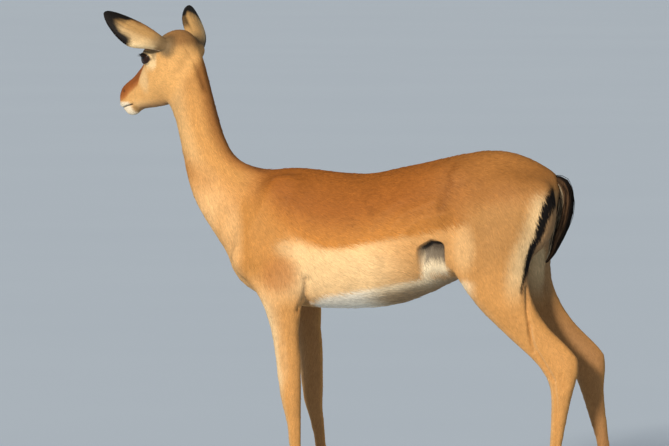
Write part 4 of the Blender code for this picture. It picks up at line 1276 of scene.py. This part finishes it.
def make_locks(name, roots, rng):
    """Locks of short hair as thin closed leaves: sunk at the root, ridged, lying on the skin."""
    points, normals, places = roots
    count = len(points)
    ways, lengths = lie_of_hair(points, normals)
    lengths = lengths * rng.uniform(*LOCK_LENGTHS, count)
    widths = LOCK_ROOT + LOCK_SPREAD * lengths
    sides = np.cross(ways, normals)
    swing = rng.normal(0.0, LOCK_SWING, count)[:, None]
    ways = unit(ways * np.cos(swing) + sides * np.sin(swing))
    sides = np.cross(ways, normals)
    middles, middle_normals = SKIN.laid(points + ways * (LOCK_MIDDLE * lengths)[:, None])
    tips, tip_normals = SKIN.laid(points + ways * lengths[:, None])
    stray = np.where(rng.random(count) < STRAY_SHARE, STRAY_LIFT, 1.0)
    stand = lengths * LOCK_LIFT * stray * rng.uniform(0.5, 1.5, count)
    edges = middle_normals * EDGE_LIFT
    half = sides * (widths * 0.5)[:, None]
    ridge = LOCK_RIDGE * widths + 0.5 * stand
    body = np.stack([points - normals * LOCK_SUNK, middles - half + edges,
                     middles + half + edges, middles + middle_normals * ridge[:, None],
                     tips + tip_normals * stand[:, None]], 1)
    shading = np.stack([normals, middle_normals - sides * ROUND_OVER,
                        middle_normals + sides * ROUND_OVER, middle_normals,
                        tip_normals + ways * TIP_TURN], 1)
    tone = 1.0 + HAIR_TONE * rng.normal(0.0, 1.0, count)
    base = coat_colour(points, normals) * tone[:, None]
    colours = within_white(base[:, None, :] * LEAF_TONES[None, :, None])
    patches = np.clip(places[:, None, :] + LEAF_PATCH[None] * MAP_PATCH, 0.0, 1.0)
    faces = LEAF[None] + (np.arange(count) * len(LEAF_PATCH))[:, None, None]
    hair_piece(name, body.reshape(-1, 3), faces.reshape(-1, 3), shading.reshape(-1, 3),
               colours.reshape(-1, 3), patches.reshape(-1, 2))


def make_strands(name, paths, widths, colours, places):
    """Long hair as tapering three-sided strands along paths of the same number of points."""
    count, steps = paths.shape[:2]
    ahead = np.diff(paths, axis=1)
    ahead = np.concatenate([ahead, ahead[:, -1:]], axis=1)
    ahead /= np.maximum(np.linalg.norm(ahead, axis=2, keepdims=True), 1e-9)
    across = np.cross(ahead, np.array([0.31, 0.93, 0.17]))
    across /= np.maximum(np.linalg.norm(across, axis=2, keepdims=True), 1e-9)
    up = np.cross(ahead, across)
    taper = np.array([0.55, *np.linspace(1.0, 0.45, steps - 2), 0.0])
    points, shading, faces = [], [], []
    for step in range(steps - 1):
        for corner in range(3):
            angle = corner * 2.0 * math.pi / 3.0
            out = across[:, step] * math.cos(angle) + up[:, step] * math.sin(angle)
            points.append(paths[:, step] + out * (widths * taper[step] * 0.5)[:, None])
            shading.append(out)
    points.append(paths[:, -1])
    shading.append(ahead[:, -1])
    last = 3 * (steps - 1)
    for step in range(steps - 2):
        for corner in range(3):
            here, following = 3 * step + corner, 3 * step + (corner + 1) % 3
            faces += [[here, following, following + 3], [here, following + 3, here + 3]]
    faces += [[last - 3 + corner, last - 3 + (corner + 1) % 3, last] for corner in range(3)]
    faces.append([2, 1, 0])
    points, shading = np.stack(points, 1), np.stack(shading, 1)
    each = points.shape[1]
    faces = np.array(faces)[None] + (np.arange(count) * each)[:, None, None]
    spread = np.array([[math.cos(k * 2.4), math.sin(k * 2.4)] for k in range(each)]) * MAP_PATCH
    patches = np.clip(places[:, None, :] + spread[None], 0.0, 1.0)
    return hair_piece(name, points.reshape(-1, 3), faces.reshape(-1, 3),
                      shading.reshape(-1, 3), np.repeat(colours, each, axis=0),
                      patches.reshape(-1, 2))


LEG_TOP = 0.50             # height where the coat of the legs meets the coat of the trunk
NECK_BACK, SHOULDER_BACK, HAUNCH_FRONT = -0.215, -0.02, 0.22      # X where those regions end


def make_coat():
    """Locks over the whole skin, in one piece for each region that a groomer would name."""
    rng = np.random.default_rng(11)
    centres = SKIN.centres
    _, lengths = lie_of_hair(centres, SKIN.centre_normals)
    cover = TRUNK_COVER + (LEG_COVER - TRUNK_COVER) * fade(centres[:, 2], 0.46, 0.54)
    cover = np.where(head_share(centres) > 0.5, HEAD_COVER, cover)
    cover = np.where(on_ears(centres), EAR_COVER, cover)
    cover = cover * 1.0
    per_area = cover / (LEAF_SHARE * lengths * (LOCK_ROOT + LOCK_SPREAD * lengths))
    in_bowl = np.zeros(len(centres), bool)
    for ear in EARS.values():
        opens = ear_axes(ear)[3]
        in_bowl |= (ear_share(centres, ear) > 0.5) & (SKIN.centre_normals @ opens > 0.1)
    per_area = per_area * np.where(in_bowl, BOWL_THINNING, 1.0) * (bare_share(centres) < 0.5)
    points, normals, places = SKIN.strew(per_area, rng)
    hairy = bare_share(points) < 0.5
    points, normals, places = points[hairy], normals[hairy], places[hairy]
    x, y, z = points.T
    ears, head = on_ears(points), head_share(points) > 0.5
    low = z < LEG_TOP
    body = ~ears & ~head
    neck = body & ~low & (x < NECK_BACK)
    body &= ~neck
    regions = {"coat_ears": ("coat_ear", ears), "coat_head": ("coat_head", head & ~ears),
               "coat_neck": ("coat_neck", neck)}
    for side, sign in SIDES.items():
        chosen = body & ((y < TRUNK_MIDDLE) == (sign < 0.0))
        front, hind = chosen & (x < SHOULDER_BACK), chosen & (x >= HAUNCH_FRONT)
        regions["coat_foreleg_" + side] = ("coat_leg", front & low)
        regions["coat_hind_leg_" + side] = ("coat_leg", hind & low)
        regions["coat_shoulder_" + side] = ("coat_trunk", front & ~low)
        regions["coat_haunch_" + side] = ("coat_trunk", hind & ~low)
        regions["coat_barrel_" + side] = ("coat_trunk", chosen & ~front & ~hind)
    for name, (slot, chosen) in regions.items():
        make_locks(name, (points[chosen], normals[chosen], places[chosen]), rng)


TAIL_OUTLINE = [  # rear and front of the brush in side view, and half its width
    ((0.440, 0.797), (0.432, 0.772), 0.012), ((0.456, 0.796), (0.440, 0.766), 0.016),
    ((0.472, 0.786), (0.447, 0.756), 0.019), ((0.483, 0.765), (0.450, 0.741), 0.021),
    ((0.4865, 0.738), (0.447, 0.722), 0.022), ((0.483, 0.708), (0.440, 0.698), 0.021),
    ((0.475, 0.682), (0.433, 0.674), 0.018), ((0.464, 0.659), (0.429, 0.652), 0.014),
    ((0.454, 0.640), (0.428, 0.637), 0.009), ((0.445, 0.625), (0.427, 0.625), 0.006),
    ((0.435, 0.612), (0.423, 0.614), 0.004), ((0.424, 0.602), (0.419, 0.605), 0.002),
]
TAIL_HAIRS, TAIL_STEPS = 1700, 10        # strands, and points along each
# painted sheen brown across the tail's black hair, and its pale hair
TAIL_SHEEN_BROWN, TAIL_PALE = colour("#6b5038"), colour("#c9b697")


def in_tail(share, rearward, aside):
    """A place in the brush: share of its length, rearward and aside in its section, -1 to 1."""
    steps = np.linspace(0.0, 1.0, len(TAIL_OUTLINE))
    rear_x, rear_z, front_x, front_z, wide = (
        np.interp(share, steps, column) for column in
        np.array([(*rear, *front, half) for rear, front, half in TAIL_OUTLINE]).T)
    back = (rearward + 1.0) / 2.0
    return np.stack([front_x + (rear_x - front_x) * back, TRUNK_MIDDLE + aside * wide,
                     front_z + (rear_z - front_z) * back], -1)


def make_tail():
    """The brush: long hair from the dock, black behind with a painted brown sheen, pale beneath, drawn
    to a point.
    """
    rng = np.random.default_rng(23)
    count = TAIL_HAIRS
    angle = rng.uniform(0.0, 2.0 * math.pi, count)
    reach = np.sqrt(rng.uniform(0.35, 1.0, count)) * 0.95
    rearward, aside = reach * np.cos(angle), reach * np.sin(angle)
    start = rng.uniform(-0.02, 0.62, count)
    end = np.minimum(start + rng.uniform(0.30, 0.52, count), 0.995)
    wave = rng.normal(0.0, 0.10, (2, count))
    path = []
    for along in np.linspace(0.0, 1.0, TAIL_STEPS):
        spread = 0.62 + 0.38 * math.sin(math.pi * min(along * 1.1, 1.0) * 0.75) - 0.10 * along
        path.append(in_tail(start + (end - start) * along, rearward * spread + wave[0] * along,
                            aside * spread + wave[1] * along))
    paths = np.stack(path, 1)
    noise = rng.random(count)
    # painted sheen: a band of brown across the middle of the black hair
    black = blend(COAT_BLACK, TAIL_SHEEN_BROWN,
                  fade(rearward, 0.40, 0.80) * soft(rearward, -0.30, 0.0) * noise)
    pale = fade(rearward + 0.18 * rng.normal(0.0, 1.0, count), -0.62, -0.38)
    colours = blend(black, TAIL_PALE * (0.7 + 0.5 * noise[:, None]), pale)
    near_root = SKIN.tree.find_nearest((0.452, TRUNK_MIDDLE, 0.785))[2]
    places = SKIN.map[near_root].mean(axis=0) + rng.uniform(-0.02, 0.02, (count, 2))
    brush = make_strands("tail_hair", paths, rng.uniform(0.0011, 0.0021, count),
                         np.clip(colours, 0.0, 1.0), places)
    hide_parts("tail")


LASHES = 30                # a little fewer and thicker than the real ones, so that they show


def make_lashes():
    """Stiff black lashes along the upper lids, curved outwards and forwards."""
    rng = np.random.default_rng(5)
    paths = []
    for side, sign in SIDES.items():
        centre, turn = np.array(EYES[side]), -sign
        for bearing in np.radians(np.linspace(-0.8 * LID_WIDE, 0.9 * LID_WIDE, LASHES)):
            rise = (math.radians(LID_UP) * math.sqrt(1.0 - (bearing / math.radians(LID_WIDE)) ** 2)
                    - math.radians(EYE_DROP))
            ahead = bearing + math.radians(EYE_TURN)
            out = (np.array(HEAD_LEFT) * turn * math.cos(ahead)
                   + np.array(HEAD_FORWARD) * math.sin(ahead)) * math.cos(rise)
            out = out + np.array(UP) * math.sin(rise)
            sweep = unit((out + np.array(HEAD_FORWARD) * 0.35 - np.array(UP) * 0.55)[None])[0]
            length = rng.uniform(0.0065, 0.0095)
            root = centre + out * (EYE_RADIUS + 0.0012)
            paths.append([root + sweep * (length * t) + np.array(UP) * (0.22 * length * t * t)
                          for t in (0.0, 0.3, 0.65, 1.0)])
    paths = np.array(paths)
    nearest = [SKIN.tree.find_nearest(tuple(path[0]))[2] for path in paths]
    make_strands("eyelashes", paths, np.full(len(paths), 0.00055),
                 np.tile(COAT_BLACK, (len(paths), 1)), SKIN.map[nearest].mean(axis=1))


# ---------------------------------------------------------------- eyes and hooves
def make_eyes():
    for side in SIDES:
        deselect()
        bpy.ops.mesh.primitive_uv_sphere_add(segments=64, ring_count=40, radius=EYE_RADIUS,
                                             location=EYES[side])
        eye = bpy.context.object
        bpy.ops.object.transform_apply(location=True)
        eye.name = eye.data.name = "eyeball_" + side
        bpy.ops.object.shade_smooth()
        eye.data.materials.append(wet_eye(side))
        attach(eye, "root")
        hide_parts("eye_" + side)


def make_hooves():
    claws = [node for node in NODES if node.startswith("hoof_")]
    for node in claws:
        hoof = copy_of_node(node)
        hoof.name = hoof.data.name = node.replace("hoof", "claw")
        apply_modifier(hoof, "BEVEL", width=0.0009, segments=2, limit_method="ANGLE",
                       angle_limit=math.radians(40.0))
        make_active(hoof)
        bpy.ops.object.shade_smooth_by_angle(angle=math.radians(45.0))
        hoof.data.materials.append(HORN)
        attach(hoof, "root")
        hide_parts(node)


# ---------------------------------------------------------------- stage
FLOOR_SIZE = 1600.0        # wide enough that its edge lies at the horizon
WORLD_LIGHT = 0.31
LAMPS = (  # name, the side that it shines from, its strength, spread in degrees and tint
    ("key", (-0.95, -4.95, 2.3), 3.46, 7.0, "#fff1de"),
    ("fill", (3.0, -3.5, 1.8), 0.20, 60.0, "#eef3ff"),
)
LIT_MIDDLE = Vector((0.0, 0.0, 0.6))


def pale_floor():
    """Matt pale blue plaster, clouded a little, so that the coat's warm colours stand out."""
    material, tree, shader = new_material("pale_plaster_floor")
    shader.inputs["Roughness"].default_value = 0.9
    place = add_node(tree, "ShaderNodeTexCoord").outputs["Object"]
    cloud = add_node(tree, "ShaderNodeTexNoise", None, {"Scale": 0.7, "Detail": 2.0},
                     {"Vector": place})
    plaster = add_node(tree, "ShaderNodeMix", {"data_type": "RGBA"},
                       {6: (*colour("#cce0f7"), 1.0), 7: (*colour("#d1e5fb"), 1.0)},
                       {0: cloud.outputs["Fac"]})
    tree.links.new(plaster.outputs[2], shader.inputs["Base Color"])
    return material


def make_stage():
    deselect()
    bpy.ops.mesh.primitive_plane_add(size=FLOOR_SIZE, location=(0.0, 0.0, 0.0))
    floor = bpy.context.object
    floor.name = floor.data.name = "floor"
    floor.data.materials.append(pale_floor())

    world = bpy.data.worlds.new("soft_studio")
    world.use_nodes = True
    background = world.node_tree.nodes["Background"]
    background.inputs["Color"].default_value = (*colour("#efece8"), 1.0)
    background.inputs["Strength"].default_value = WORLD_LIGHT
    bpy.context.scene.world = world

    for name, place, power, spread, tint in LAMPS:
        light = bpy.data.lights.new(name, "SUN")
        light.energy = power
        light.angle = math.radians(spread)
        light.color = tuple(colour(tint))
        lamp = bpy.data.objects.new(name, light)
        lamp.location = place
        lamp.rotation_euler = (LIT_MIDDLE - Vector(place)).to_track_quat("-Z", "Y").to_euler()
        bpy.context.collection.objects.link(lamp)


CAMERA_DISTANCE = 20.0
CAMERA_TURN, CAMERA_RISE = math.radians(13.0), math.radians(3.0)
CAMERA_AIM = Vector((-0.046, -0.0298, 0.684))
LENS, SENSOR = 496.0, 36.0              # in millimetres: a long lens from far off, so no foreshortening


def make_camera():
    lens = bpy.data.cameras.new("camera")
    lens.lens = LENS
    lens.sensor_width = SENSOR
    lens.clip_end = 200.0
    camera = bpy.data.objects.new("camera", lens)
    back = Vector((math.sin(CAMERA_TURN) * math.cos(CAMERA_RISE),
                   -math.cos(CAMERA_TURN) * math.cos(CAMERA_RISE), math.sin(CAMERA_RISE)))
    camera.location = CAMERA_AIM + back * CAMERA_DISTANCE
    camera.rotation_euler = back.to_track_quat("Z", "Y").to_euler()
    bpy.context.collection.objects.link(camera)
    bpy.context.scene.camera = camera
    bpy.context.scene.view_settings.view_transform = "Standard"


# ---------------------------------------------------------------- the animal
make_camera()
make_stage()
HORN = hoof_horn()
skin = make_flesh()
add_ears(skin)
refine(skin, fine_places)
refine(skin, finest_places)
settle(skin)
shape_skin(skin)
unwrap(skin)
skin_points, skin_normals = read_points(skin.data), read_normals(skin.data)
paint(skin, coat_colour(skin_points, skin_normals))
paint(skin, lie_weights(skin_points), "coat_lie")
skin.data.materials.clear()
skin.data.materials.append(sleek_coat())
make_active(skin)
bpy.ops.object.shade_smooth()
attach(skin, "root")
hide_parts(*FLESH, "ear_left", "ear_right")
make_eyes()
make_hooves()
HAIR = hair_locks()
SKIN = SkinMap(skin)
make_coat()
make_tail()
make_lashes()
